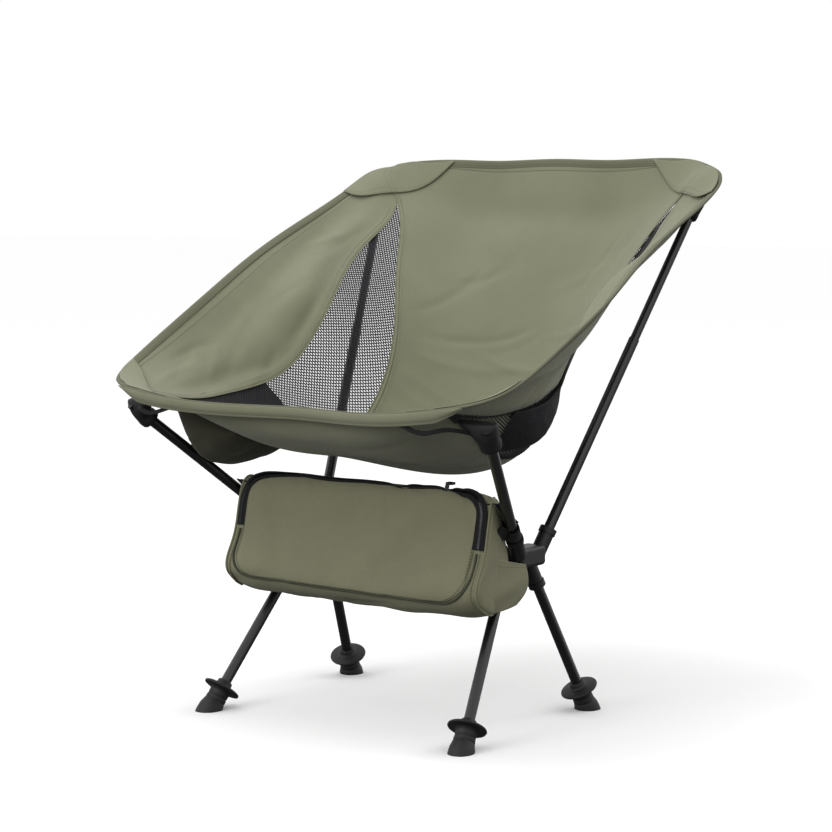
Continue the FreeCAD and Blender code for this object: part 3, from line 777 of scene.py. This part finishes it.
def arc_line(arc, rim, mix, side, extra):
    """Stitch line inside a patch's curved edge, a share of the way towards the rim."""
    spots = np.clip(smooth_path(arc, 80) * (1 - mix) + smooth_path(rim, 80) * mix, 0.001, 0.999)
    return on_cloth(spots[:, 0], spots[:, 1] * side, tip_bump, extra)


def make_stitching():
    """Seam stitches of the sling, on both faces of the cloth."""
    over, under = FABRIC / 2, -FABRIC / 2
    for face, height, word in ((1, over, "inner"), (-1, under, "outer")):
        lines = []
        for side in (1, -1):
            lines.append(seam_line(strip_edge, -1.8, strip_lift, side, (0.02, 0.97), height))
            lines.append(seam_line(strip_edge, -6.5, strip_lift, side, (0.02, 0.97), height))
            lines.append(seam_line(wing_edge, 1.8, wing_lift, side, (0.03, 0.865), height))
            lines.append(seam_line(wing_edge, 7.5, wing_lift, side, (0.03, 0.865), height))
        lines = [(points, normals * face) for points, normals in lines]
        sew("seam_stitches_" + word, lines, "sling_fabric")
    rim = [rim_line(7.3, 0.0016), rim_line(16.5, 0.0016)]
    rim += [(points, -normals) for points, normals in (rim_line(7.3, -0.0016),)]
    sew("rim_stitches", rim, "binding")
    patch = []
    for side in (1, -1):
        patch += [arc_line(TOP_ARC, TOP_RIM, mix, side, 0.0040) for mix in (0.03, 0.12)]
        patch += [seam_line(strip_edge, gap, top_lift, side, (0.893, 0.972), 0.0014) for gap in (-3.5, 3.5)]
        patch += [arc_line(FRONT_ARC, FRONT_RIM, mix, side, 0.0032) for mix in (0.03, 0.16)]
    sew("patch_stitches", patch, "sling_fabric")


# ---------------------------------------------------------------------------------------------
# Pockets, caps and straps
# ---------------------------------------------------------------------------------------------
POCKET_CREASES = make_creases(21, 30, (0.0, 0.20), (0.0, 0.10), (-0.9, 0.9), 0.0062, 0.026)
# Pocket on each side, loose cloth on the right and taut mesh on the left: hang and gape in mm, where
# it starts and how far it runs back, how far out its mouth is, and how creased it is
POCKETS = {-1: (60, 16, 0.13, 0.21, 0.77, 1.0), 1: (12, 4, 0.245, 0.20, 0.69, 0.12)}


def pocket_spot(share, mix, side):
    """Point of a side pocket: share runs front to back, mix from its low edge up to its mouth."""
    hang, gape, start, run, mouth, creased = POCKETS[side]
    middle = np.sin(np.pi * share) ** (0.45 if side < 0 else 1.0)
    drop = 2.0 + middle * (hang * np.sin(np.pi * mix ** 0.8) + gape * mix)
    back = start + run * share + 0.012 * (2 * share - 1) * mix
    out = ((0.46 - 0.05 * share) * (1 - mix) + (mouth - 0.06 * share) * mix) * side
    rumple = crease_height(POCKET_CREASES, share * 0.20, mix * 0.10) * middle * creased
    ripple = 0.0016 * np.sin(share * 21 + mix * 9) * np.sin(mix * 13 + 1.0) * middle * creased
    return SLING.at(back, out) + SLING.normal(back, out) * (rumple + ripple - drop * MM)[..., None]


def make_side_pockets():
    """Cloth pocket on the right side, open mesh pocket on the left, both open at the top."""
    share, mix = np.meshgrid(np.linspace(0, 1, 90), np.linspace(0, 1, 60), indexing="ij")
    points = pocket_spot(share, mix, -1)
    flat = np.stack([share * 0.22, mix * 0.13], -1)
    piece = new_piece("cloth_pocket", points, grid_faces(90, 60), flat)
    thicken(piece, 0.0007)
    # The pocket's cloth finish and its mouth tape carry painted shade from under the seat in their colour
    finish_piece(piece, "pocket_fabric", replaced=["side_pocket_right"])

    def place(x, y):
        return pocket_spot(x / 0.22, y / 0.13, 1)

    def inside(x, y):
        return 0.002 < x < 0.218 and 0.002 < y < 0.128

    net = honeycomb("mesh_pocket", (0.0, 0.22), (0.0, 0.13), 0.0038, inside, place, 0.58, 0.0004)
    finish_piece(net, "mesh", replaced=["side_pocket_left"])
    for word, side in SIDES:
        run = np.linspace(0, 1, 80)
        mouth = pocket_spot(run, np.ones(80), side)
        ups = SLING.normal(0.13 + 0.21 * run, (0.74 - 0.06 * run) * side)
        tape = sweep("pocket_mouth_" + word, mouth, flat_section(0.009, 0.0024), ups)
        finish_piece(tape, "webbing" if side > 0 else "pocket_fabric")


# Rings of a corner cap from its cuff up to its mouth: share of the way, half width, half depth (mm)
CAP_RINGS = ((0.00, 11.2, 10.8), (0.02, 13.0, 12.3), (0.26, 13.4, 12.6), (0.29, 12.2, 11.5),
             (0.40, 13.0, 11.5), (0.58, 15.5, 11.0), (0.78, 19.5, 9.5), (0.94, 23.0, 7.8),
             (1.00, 23.2, 6.6), (1.01, 21.0, 4.5))


def make_corner_cap(word, side):
    """Sleeve under a front corner: a round cuff on the pole that widens to a mouth sewn to the rim."""
    near, far = (p * (side, 1, 1) * MM for p in FRONT_POLE)
    ahead = unit(far - near)
    rim = unit(SLING.at(0.0, 0.93 * side) - SLING.at(0.0, 0.80 * side)) * side
    run = np.array((far - ahead * 0.032, far - ahead * 0.022, far - ahead * 0.012 + (-0.003 * side, 0, 0.001),
                    far + np.array((-0.014 * side, 0.002, 0.008))))
    line = Spline(chord_steps(run), run)
    rings = []
    for share, half, depth in CAP_RINGS:
        flatness = min(1.0, max(0.0, (share - 0.3) / 0.5))
        power = 1.0 - 0.40 * flatness
        facing = unit(ahead * (1 - 0.75 * flatness) + np.array((0, 0, 1.0)) * 0.75 * flatness)
        wide = unit(rim - facing * np.dot(rim, facing))
        deep = np.cross(facing, wide)
        ring = []
        for aside, up in round_section(1.0, 40):
            ring.append(line(share) + wide * half * MM * math.copysign(abs(aside) ** power, aside)
                        + deep * depth * MM * math.copysign(abs(up) ** power, up))
        rings.append(ring)
    piece = skin_rings("corner_cap_" + word, rings)
    apply_modifier(piece, "SUBSURF", levels=1, render_levels=1)
    finish_piece(piece, "cap_plastic", replaced=["front_cap_" + word])


def make_front_hem():
    """Doubled band that hangs below the front rim, between the corner caps."""
    outs, down = np.meshgrid(np.linspace(-0.975, 0.975, 170), np.linspace(0, 1, 16), indexing="ij")
    depth = 1.5 + 12 * np.clip((0.975 - np.abs(outs)) / 0.13, 0, 1) ** 0.8
    points = SLING.at(0.0, outs)
    bow = 1.6 * np.sin(np.pi * down) - 0.6 * dip(down, 0.75, 0.08)
    points = points + np.stack([np.zeros_like(down), 3.0 * down - 2.0 - bow, -depth * down], -1) * MM
    flat = np.stack([outs * HALF_WIDTH, down * 0.014], -1)
    piece = new_piece("front_hem", points, grid_faces(*outs.shape), flat)
    thicken(piece, 0.0011)
    finish_piece(piece, "sling_fabric")
    line = points[:, 12]
    ups = np.repeat([[0, -1.0, 0.1]], len(line), axis=0)
    sew("front_hem_stitches", [(line + ups * 0.0006, ups)], "sling_fabric")


def make_cap_strap(word, side):
    """Thin webbing that ties a corner cap back to the front hem."""
    near, far = (p * (side, 1, 1) * MM for p in FRONT_POLE)
    ahead = unit(far - near)
    back = np.array((0.012, 0.016, 0.020, 0.026))
    out = np.array((0.60, 0.67, 0.74, 0.80)) * side
    run = SLING.at(back, out) - SLING.normal(back, out) * np.array((0.004, 0.014, 0.021, 0.020))[:, None]
    path = smooth_path(np.vstack([run, far - ahead * 0.014 + np.array((-0.010 * side, 0.0, 0.0))]), 50)
    ups = np.repeat(np.array(((0.0, -0.8, 0.6),)), len(path), axis=0)
    strap = sweep("cap_strap_" + word, path, flat_section(0.0055, 0.0015), ups)
    finish_piece(strap, "webbing", replaced=["front_strap_" + word])


def make_pole_pocket(word, side):
    """Webbing sleeve behind a top corner, closed round the rear pole's tip."""
    near, far = (p * (side, 1, 1) * MM for p in REAR_POLE)
    ahead = unit(far - near)
    start = far - ahead * 0.046
    profile = ((0.0, 0.0080), (0.001, 0.0092), (0.006, 0.0094), (0.0075, 0.0086), (0.028, 0.0094),
               (0.040, 0.0086), (0.0455, 0.0070), (0.0475, 0.0040))
    wide = unit(np.cross(ahead, (0, 0, 1.0)))
    deep = unit(np.cross(ahead, wide))
    turns = np.linspace(0, 2 * math.pi, 36, endpoint=False)
    rings = []
    for along, radius in profile:
        spread = 1 + 0.55 * min(1, along / 0.03)
        pucker = 1 + 0.03 * np.cos(turns * 9) * (0.4 + along / 0.05)
        rings.append(start + ahead * along + wide * (radius * spread * pucker * np.cos(turns))[:, None]
                     + deep * (radius * pucker * np.sin(turns))[:, None])
    piece = skin_rings("pole_pocket_" + word, rings)
    apply_modifier(piece, "SUBSURF", levels=1, render_levels=1)
    finish_piece(piece, "webbing", replaced=["rear_pocket_" + word])


def make_foot(leg, word, side):
    """Rubber foot built up round its leg: flared base, ringed body, thin round brim and a collar."""
    top, bottom = (np.array(p, float) * (side, 1, 1) * MM for p in LEGS[leg])
    ahead = unit(top - bottom)
    deselect()
    bpy.ops.mesh.primitive_circle_add(vertices=56, radius=FOOT_PROFILE[0][1] * MM, fill_type="NGON",
                                      location=bottom + ahead * FOOT_PROFILE[0][0] * MM,
                                      rotation=Vector(ahead).to_track_quat("Z", "Y").to_euler())
    piece = bpy.context.object
    piece.name = "%s_foot_%s" % (leg, word)
    bpy.ops.object.transform_apply(location=True, rotation=True, scale=True)
    bpy.ops.object.mode_set(mode="EDIT")
    bpy.ops.mesh.select_all(action="SELECT")
    for (low, inner), (high, outer) in zip(FOOT_PROFILE, FOOT_PROFILE[1:]):
        rise = tuple(ahead * (high - low) * MM)
        bpy.ops.mesh.extrude_region_move(TRANSFORM_OT_translate={"value": rise})
        centre = tuple(bottom + ahead * high * MM)
        bpy.ops.transform.resize(value=(outer / inner,) * 3, center_override=centre)
    bpy.ops.mesh.select_all(action="SELECT")
    bpy.ops.mesh.bisect(plane_co=(0, 0, 0), plane_no=(0, 0, 1), use_fill=True, clear_inner=True)
    bpy.ops.object.mode_set(mode="OBJECT")
    piece.data.polygons.foreach_set("use_smooth", [True] * len(piece.data.polygons))
    face_outward(piece)
    apply_modifier(piece, "BEVEL", width=0.0004, segments=2, limit_method="ANGLE")
    finish_piece(piece, "foot_rubber", body="%s_%s" % (leg, word), replaced=["%s_foot_%s" % (leg, word)])


# ---------------------------------------------------------------------------------------------
# Stuff sack
# ---------------------------------------------------------------------------------------------
class Sack:
    """The sack's outside: x in mm along it, turn from 0 at the zip down the front and round to 1."""

    def __init__(self):
        ring = np.array(BAG_OUTLINE, float)
        three = np.vstack([ring, ring, ring, ring[:1]])
        knots = np.r_[0, np.cumsum(np.linalg.norm(np.diff(three, axis=0), axis=1))]
        self.start, self.girth = knots[len(ring)], knots[len(ring)]
        self.line = Spline(knots, three)
        self.creases = (make_creases(31, 26, (-0.15, 0.15), (0.0, 0.13), (0.2, 1.3), 0.0016, 0.035)
                        + make_creases(32, 14, (-0.15, 0.15), (0.12, 0.20), (-0.4, 0.4), 0.0022, 0.05)
                        + [(-0.105, 0.070, 1.15, 0.015, 0.055, -0.0050, 0.0),
                           (0.070, 0.075, 2.42, 0.014, 0.060, -0.0050, 0.0),
                           (0.120, 0.100, 2.30, 0.020, 0.050, 0.0035, 0.0)])

    def section(self, turn):
        return self.line(self.start + np.mod(turn, 1.0) * self.girth)

    def at(self, x, turn, grow=0.0):
        x, turn = np.broadcast_arrays(np.asarray(x, float), np.asarray(turn, float))
        ring = self.section(turn)
        step = self.section(turn + 0.004) - self.section(turn - 0.004)
        outward = unit(np.stack([-step[..., 1], step[..., 0]], -1))
        outward *= np.sign(np.sum(outward * (ring - BAG_MIDDLE), -1, keepdims=True))
        past = np.clip((np.abs(x) - 132) / 50, 0, 1)
        shrink = 1 - 0.16 * past ** 2.4
        puff = 3.0 * np.sin(np.pi * np.clip(turn / 0.28, 0, 1)) ** 2 * (1 - past)
        rumple = crease_height(self.creases, x * MM, np.mod(turn, 1) * self.girth * MM) / MM
        rumple += 1.1 * np.sin(x / 23 + turn * 16) * np.sin(turn * 25 - x / 41)
        spot = BAG_MIDDLE + (ring - BAG_MIDDLE) * shrink[..., None]
        spot = spot + outward * (puff + rumple * 0.8 + grow)[..., None]
        under = np.clip((np.mod(turn, 1) - 0.2) / 0.15, 0, 1) * np.clip((0.75 - np.mod(turn, 1)) / 0.15, 0, 1)
        spot[..., 1] -= 2.0 * under * dip(x, 60, 90)
        reach = 1 + 0.07 * np.clip((-92 - spot[..., :1]) / 40, 0, 1)
        return np.concatenate([x[..., None] * reach, spot], -1) * MM

    def outward(self, x, turn):
        along = self.at(x + 1.0, turn) - self.at(x - 1.0, turn)
        round_it = self.at(x, turn + 0.003) - self.at(x, turn - 0.003)
        found = unit(np.cross(along, round_it))
        middle = np.stack(np.broadcast_arrays(x * MM, BAG_MIDDLE[0] * MM, BAG_MIDDLE[1] * MM), -1)
        return found * np.sign(np.sum(found * (self.at(x, turn) - middle), -1, keepdims=True))


SACK = Sack()
ZIP_TURN = 0.015


def make_sack_body():
    """Soft sack: a long tube of cloth with gathered round ends."""
    around = 120
    turns = np.arange(around) / around
    stations = np.linspace(-BAG_HALF, BAG_HALF, 120)
    rows = [SACK.at(np.full(around, x), turns) for x in stations]
    left, right = [], []
    for share, bulge in ((0.985, 2.0), (0.94, 3.6), (0.86, 4.6), (0.66, 6.0), (0.42, 6.8), (0.20, 7.0)):
        for rings, row, sign in ((left, rows[0], -1), (right, rows[-1], 1)):
            middle = row.mean(axis=0)
            ripple = 1 + 0.012 * np.cos(turns * 2 * np.pi * 11) * (1 - share) * 3
            ring = middle + (row - middle) * share * ripple[:, None]
            ring[:, 0] = row[:, 0] * share + row[:, 0].mean() * (1 - share) + sign * bulge * MM
            rings.append(ring)
    rows = left[::-1] + rows + right
    points = np.concatenate(rows)
    count = len(rows)
    faces = grid_faces(count, around, around=True)
    for row, last in ((0, False), (count - 1, True)):
        points = np.vstack([points, rows[row].mean(axis=0)])
        for c in range(around):
            here, after = row * around + c, row * around + (c + 1) % around
            faces.append((here, after, len(points) - 1) if last else (after, here, len(points) - 1))
    lengthwise = np.linspace(-0.18, 0.18, count)
    flat = np.stack(np.broadcast_arrays(lengthwise[:, None], turns[None] * SACK.girth * MM), -1)
    flat = np.vstack([flat.reshape(-1, 2), [(-0.19, 0.2), (0.19, 0.2)]])
    piece = new_piece("sack_body", points, faces, flat)
    face_outward(piece)
    finish_piece(piece, "bag_fabric", replaced=["bag_shell"])


def sack_ribbon(name, xs, turns, width, thickness, slot, lift, finish=None, replaced=()):
    """Flat strip lying on the sack along a run of places."""
    path = SACK.at(xs, turns, lift)
    ups = SACK.outward(xs, turns)
    widths = np.broadcast_to(width, xs.shape)
    sections = np.stack([np.array(flat_section(w, thickness)) for w in widths])
    return finish_piece(sweep(name, path, sections, ups), slot, finish, replaced=replaced)


def sack_line(spots, count):
    """Places (x, turn) on the sack along a smooth line through a few spots."""
    spots = np.asarray(spots, float)
    run = Spline(chord_steps(spots * (1, SACK.girth)), spots)(np.linspace(0, 1, count))
    return run[:, 0], run[:, 1]


def zip_run():
    """Places of the zip: up the right end's front corner, along the top edge and down the other."""
    spots = ((-163, 0.19), (-163, 0.14), (-161.5, 0.09), (-152, 0.046), (-134, ZIP_TURN + 0.008),
                      (-110, ZIP_TURN), (-55, ZIP_TURN), (0, ZIP_TURN), (55, ZIP_TURN), (110, ZIP_TURN),
                      (134, ZIP_TURN + 0.008), (152, 0.046), (161.5, 0.09), (163, 0.14), (163, 0.19))
    return sack_line(spots, 190)


def make_zip():
    xs, turns = zip_run()
    share = np.linspace(0, 1, len(xs))
    widths = 0.0125 + 0.003 * np.clip((share - 0.84) / 0.12, 0, 1)
    sack_ribbon("zip_tape", xs, turns, widths, 0.0014, "zipper_tape", 0.8, replaced=["zipper_tape"])
    path, normals = SACK.at(xs, turns, 1.6), SACK.outward(xs, turns)
    path, normals = resample(path, 0.0017, normals)
    points, faces = [], []
    for i in range(1, len(path) - 1):
        ahead = unit(path[i + 1] - path[i - 1])
        up = unit(normals[i])
        side = unit(np.cross(ahead, up)) * (1 if i % 2 else -1)
        middle = path[i] + side * 0.0005
        first = len(points)
        for z in (-0.0004, 0.0007):
            for a, b in ((-1, -1), (1, -1), (1, 1), (-1, 1)):
                points.append(middle + ahead * a * 0.00055 + side * b * 0.0013 + up * z)
        box = ((0, 3, 2, 1), (4, 5, 6, 7), (0, 1, 5, 4), (1, 2, 6, 5), (2, 3, 7, 6), (3, 0, 4, 7))
        faces += [tuple(first + k for k in (face if i % 2 else face[::-1])) for face in box]
    teeth = new_piece("zip_teeth", points, faces, smooth=False)
    face_outward(teeth)
    finish_piece(teeth, "slider_metal")


def make_sack_front():
    """Front flap between the zip and the piping, and the piping along its lower seam."""
    turns = np.r_[0.030, 0.033, 0.037, np.linspace(0.044, 0.345, 50), 0.352, 0.358]
    across = np.linspace(-1, 1, 121)
    reach = 158 - 42 * np.clip((0.110 - turns) / 0.086, 0, 1) ** 2.2
    reach -= 24 * np.clip((turns - 0.28) / 0.08, 0, 1) ** 2.5
    xs = across[None] * reach[:, None]
    rise = 1.3 - 1.0 * dip(np.abs(xs), reach[:, None], 3.5)
    grid = np.broadcast_to(turns[:, None], xs.shape)
    points = SACK.at(xs, grid, rise)
    flat = np.stack([xs * MM, grid * SACK.girth * MM], -1)
    piece = new_piece("sack_front", points, grid_faces(*xs.shape), flat)
    thicken(piece, 0.0009)
    finish_piece(piece, "bag_fabric", replaced=["bag_front_panel"])
    half = np.array(((0, 0.364), (60, 0.364), (110, 0.364), (137, 0.362), (152, 0.338), (161.5, 0.285),
                     (162, 0.20)))
    xs, turns = sack_line(np.vstack([half[:0:-1] * (-1, 1), half]), 180)
    path = SACK.at(xs, turns, 0.9)
    pipe = sweep("sack_piping", path, round_section(0.0013), SACK.outward(xs, turns))
    finish_piece(pipe, "binding", "thread", replaced=["bag_piping"])
    lines = [(SACK.at(xs * 0.97, turns - 0.010, 2.0), SACK.outward(xs * 0.97, turns - 0.010))]
    for end in (-156.5, 156.5):
        spots = np.linspace(0.115, 0.285, 60)
        lines.append((SACK.at(np.full(60, end), spots, 1.9), SACK.outward(np.full(60, end), spots)))
    sew("sack_stitches", lines, "bag_fabric", "thread")


def make_end_seams():
    """Stitched edge where each end panel joins the sack."""
    lines = []
    for end in (-BAG_HALF, BAG_HALF):
        turns = np.linspace(0, 1, 160)
        place = np.full(160, float(end))
        path = SACK.at(place, turns, 0.6)
        word = "left" if end > 0 else "right"
        welt = sweep("sack_end_welt_" + word, path[:-1], round_section(0.0014, 8),
                     SACK.outward(place, turns)[:-1], closed=True)
        finish_piece(welt, "bag_fabric")
        inset = np.full(160, end - math.copysign(5.0, end))
        lines.append((SACK.at(inset, turns, 0.2), SACK.outward(inset, turns)))
    sew("sack_end_stitches", lines, "bag_fabric", "thread")


def make_sack_wing(word, side):
    """Cloth wing that carries on from the sack's end, outside the leg, to the webbing loop."""
    along, down = np.meshgrid(np.linspace(0, 1, 44), np.linspace(0, 1, 36), indexing="ij")
    sewn = SACK.at(165.0, 0.20 + 0.25 * down, 1.6)
    free = Spline(np.linspace(0, 1, 4), np.array(((190, -70, 198), (193, -69, 184), (192, -71, 167),
                                                  (187, -84, 152))) * MM)(down)
    points = sewn * (1 - along[..., None]) + free * along[..., None]
    billow = np.sin(np.pi * along) * (0.6 + 0.4 * down)
    folds = np.sin(down * 9 + along * 5) * np.sin(np.pi * along) * np.sin(np.pi * down)
    points[..., 0] += (4.5 * billow + 1.6 * folds) * MM
    points[..., 2] -= 2.5 * MM * billow * (1 - down)
    points = points * (side, 1, 1)
    flat = np.stack([along * 0.08, down * 0.09], -1)
    piece = new_piece("sack_wing_" + word, points, grid_faces(44, 36), flat)
    thicken(piece, 0.0011)
    finish_piece(piece, "bag_fabric")
    edges = []
    for mix in (0.03, 0.10):
        row, rest = divmod(mix * 35, 1)
        edges.append(points[:, int(row)] * (1 - rest) + points[:, int(row) + 1] * rest)
    ups = np.repeat([[side, -0.25, 0.1]], 44, axis=0)
    sew("sack_wing_stitches_" + word, [(edge + ups * 0.0005, ups) for edge in edges], "bag_fabric", "thread")


def make_sack_loop(word, side):
    """Webbing loop from the sack's end round the front pole, with a stripe of the sack's cloth."""
    near, far = (p * (side, 1, 1) * MM for p in FRONT_POLE)
    ahead = unit(far - near)
    centre = near + ahead * 0.047
    aside = unit(np.cross(ahead, np.array((side, 0, 0.0))))
    toward = unit(np.cross(aside, ahead)) * side
    if toward[0] * side > 0:
        toward = -toward
    sewn = SACK.at(np.array([(BAG_HALF + 2) * side]), np.array([0.06]), 0.0)[0]
    radius = 0.0082
    bend = []
    for turn in np.linspace(-115, 115, 25):
        angle = math.radians(turn)
        bend.append(centre - toward * radius * math.cos(angle) + aside * radius * math.sin(angle))
    bend = np.array(bend)
    if np.linalg.norm(bend[0] - sewn) > np.linalg.norm(bend[-1] - sewn):
        bend = bend[::-1]
    low = sewn + np.array((0.0, 0.006, -0.030))
    path = np.vstack([sewn + (0, 0, 0.004), sewn * 0.4 + bend[0] * 0.6, bend,
                      low * 0.35 + bend[-1] * 0.65, low])
    path, = resample(path, 0.0025)
    ups = unit(np.cross(np.gradient(path, axis=0), ahead))
    band = sweep("sack_loop_" + word, path, flat_section(0.020, 0.0016), ups)
    finish_piece(band, "webbing", replaced=["bag_loop_" + word])
    stripe = sweep("sack_loop_stripe_" + word, path + ups * 0.0011, flat_section(0.006, 0.0009), ups)
    finish_piece(stripe, "bag_fabric", "binding")


# ---------------------------------------------------------------------------------------------
# Studio
# ---------------------------------------------------------------------------------------------
def surroundings():
    """White all round, with less light coming up from below."""
    world = bpy.data.worlds.new("studio")
    bpy.context.scene.world = world
    world.use_nodes = True
    tree = world.node_tree
    background = tree.nodes["Background"]
    background.inputs["Color"].default_value = (1, 1, 1, 1)
    split = add_node(tree, "ShaderNodeSeparateXYZ")
    tree.links.new(add_node(tree, "ShaderNodeTexCoord").outputs["Generated"], split.inputs["Vector"])
    fade = add_node(tree, "ShaderNodeMapRange")
    fade.inputs["From Min"].default_value = -0.30
    fade.inputs["From Max"].default_value = 0.10
    fade.inputs["To Min"].default_value = 0.10
    fade.inputs["To Max"].default_value = 1.0
    tree.links.new(split.outputs["Z"], fade.inputs["Value"])
    seen = add_node(tree, "ShaderNodeLightPath")
    glow = add_node(tree, "ShaderNodeMath", operation="MAXIMUM")
    tree.links.new(fade.outputs["Result"], glow.inputs[0])
    tree.links.new(seen.outputs["Is Camera Ray"], glow.inputs[1])
    tree.links.new(glow.outputs["Value"], background.inputs["Strength"])


# Soft boxes: name, place and size in metres, power in watts
LAMPS = (("key", (-0.9, -2.9, 1.5), 1.3, 26), ("top", (-0.6, -0.6, 3.2), 1.4, 22),
         ("rear", (1.4, 2.4, 2.2), 1.2, 12))


def studio():
    """Pale floor, white surroundings and soft boxes."""
    deselect()
    bpy.ops.mesh.primitive_plane_add(size=40, location=(0, 0, 0))
    floor = bpy.context.object
    floor.name = "floor"
    floor.data.materials.append(new_material("studio_floor", (0.99, 0.99, 0.99), 1.0)[0])
    floor.visible_diffuse = False
    floor.visible_glossy = False
    surroundings()
    bpy.context.scene.view_settings.view_transform = "Standard"
    for name, place, size, power in LAMPS:
        lamp = bpy.data.lights.new(name, "AREA")
        lamp.size = size
        lamp.energy = power
        holder = bpy.data.objects.new(name, lamp)
        holder.location = place
        aim = Vector((0, 0, 0.35)) - Vector(place)
        holder.rotation_euler = aim.to_track_quat("-Z", "Y").to_euler()
        bpy.context.collection.objects.link(holder)


def camera():
    """Camera off the sitter's left front, a little above the rim's height."""
    turn, tilt = math.radians(35.99), math.radians(5.55)
    data = bpy.data.cameras.new("camera")
    data.lens = 101.92
    data.sensor_width = 36
    holder = bpy.data.objects.new("camera", data)
    holder.location = (1.66196, -2.31038, 0.62912)
    holder.rotation_euler = (math.pi / 2 - tilt, 0, turn)
    bpy.context.collection.objects.link(holder)
    bpy.context.scene.camera = holder


camera()
studio()
dress_cad_nodes()
make_seat_and_back()
for side_word, side_sign in SIDES:
    make_wing(side_word, side_sign)
    make_mesh_panel(side_word, side_sign)
    make_patches(side_word, side_sign)
    make_corner_cap(side_word, side_sign)
    make_cap_strap(side_word, side_sign)
    make_pole_pocket(side_word, side_sign)
    make_foot("front_leg", side_word, side_sign)
    make_foot("rear_leg", side_word, side_sign)
make_front_hem()
make_binding()
make_stitching()
make_side_pockets()
make_sack_body()
make_sack_front()
make_zip()
make_end_seams()
for side_word, side_sign in SIDES:
    make_sack_wing(side_word, side_sign)
    make_sack_loop(side_word, side_sign)
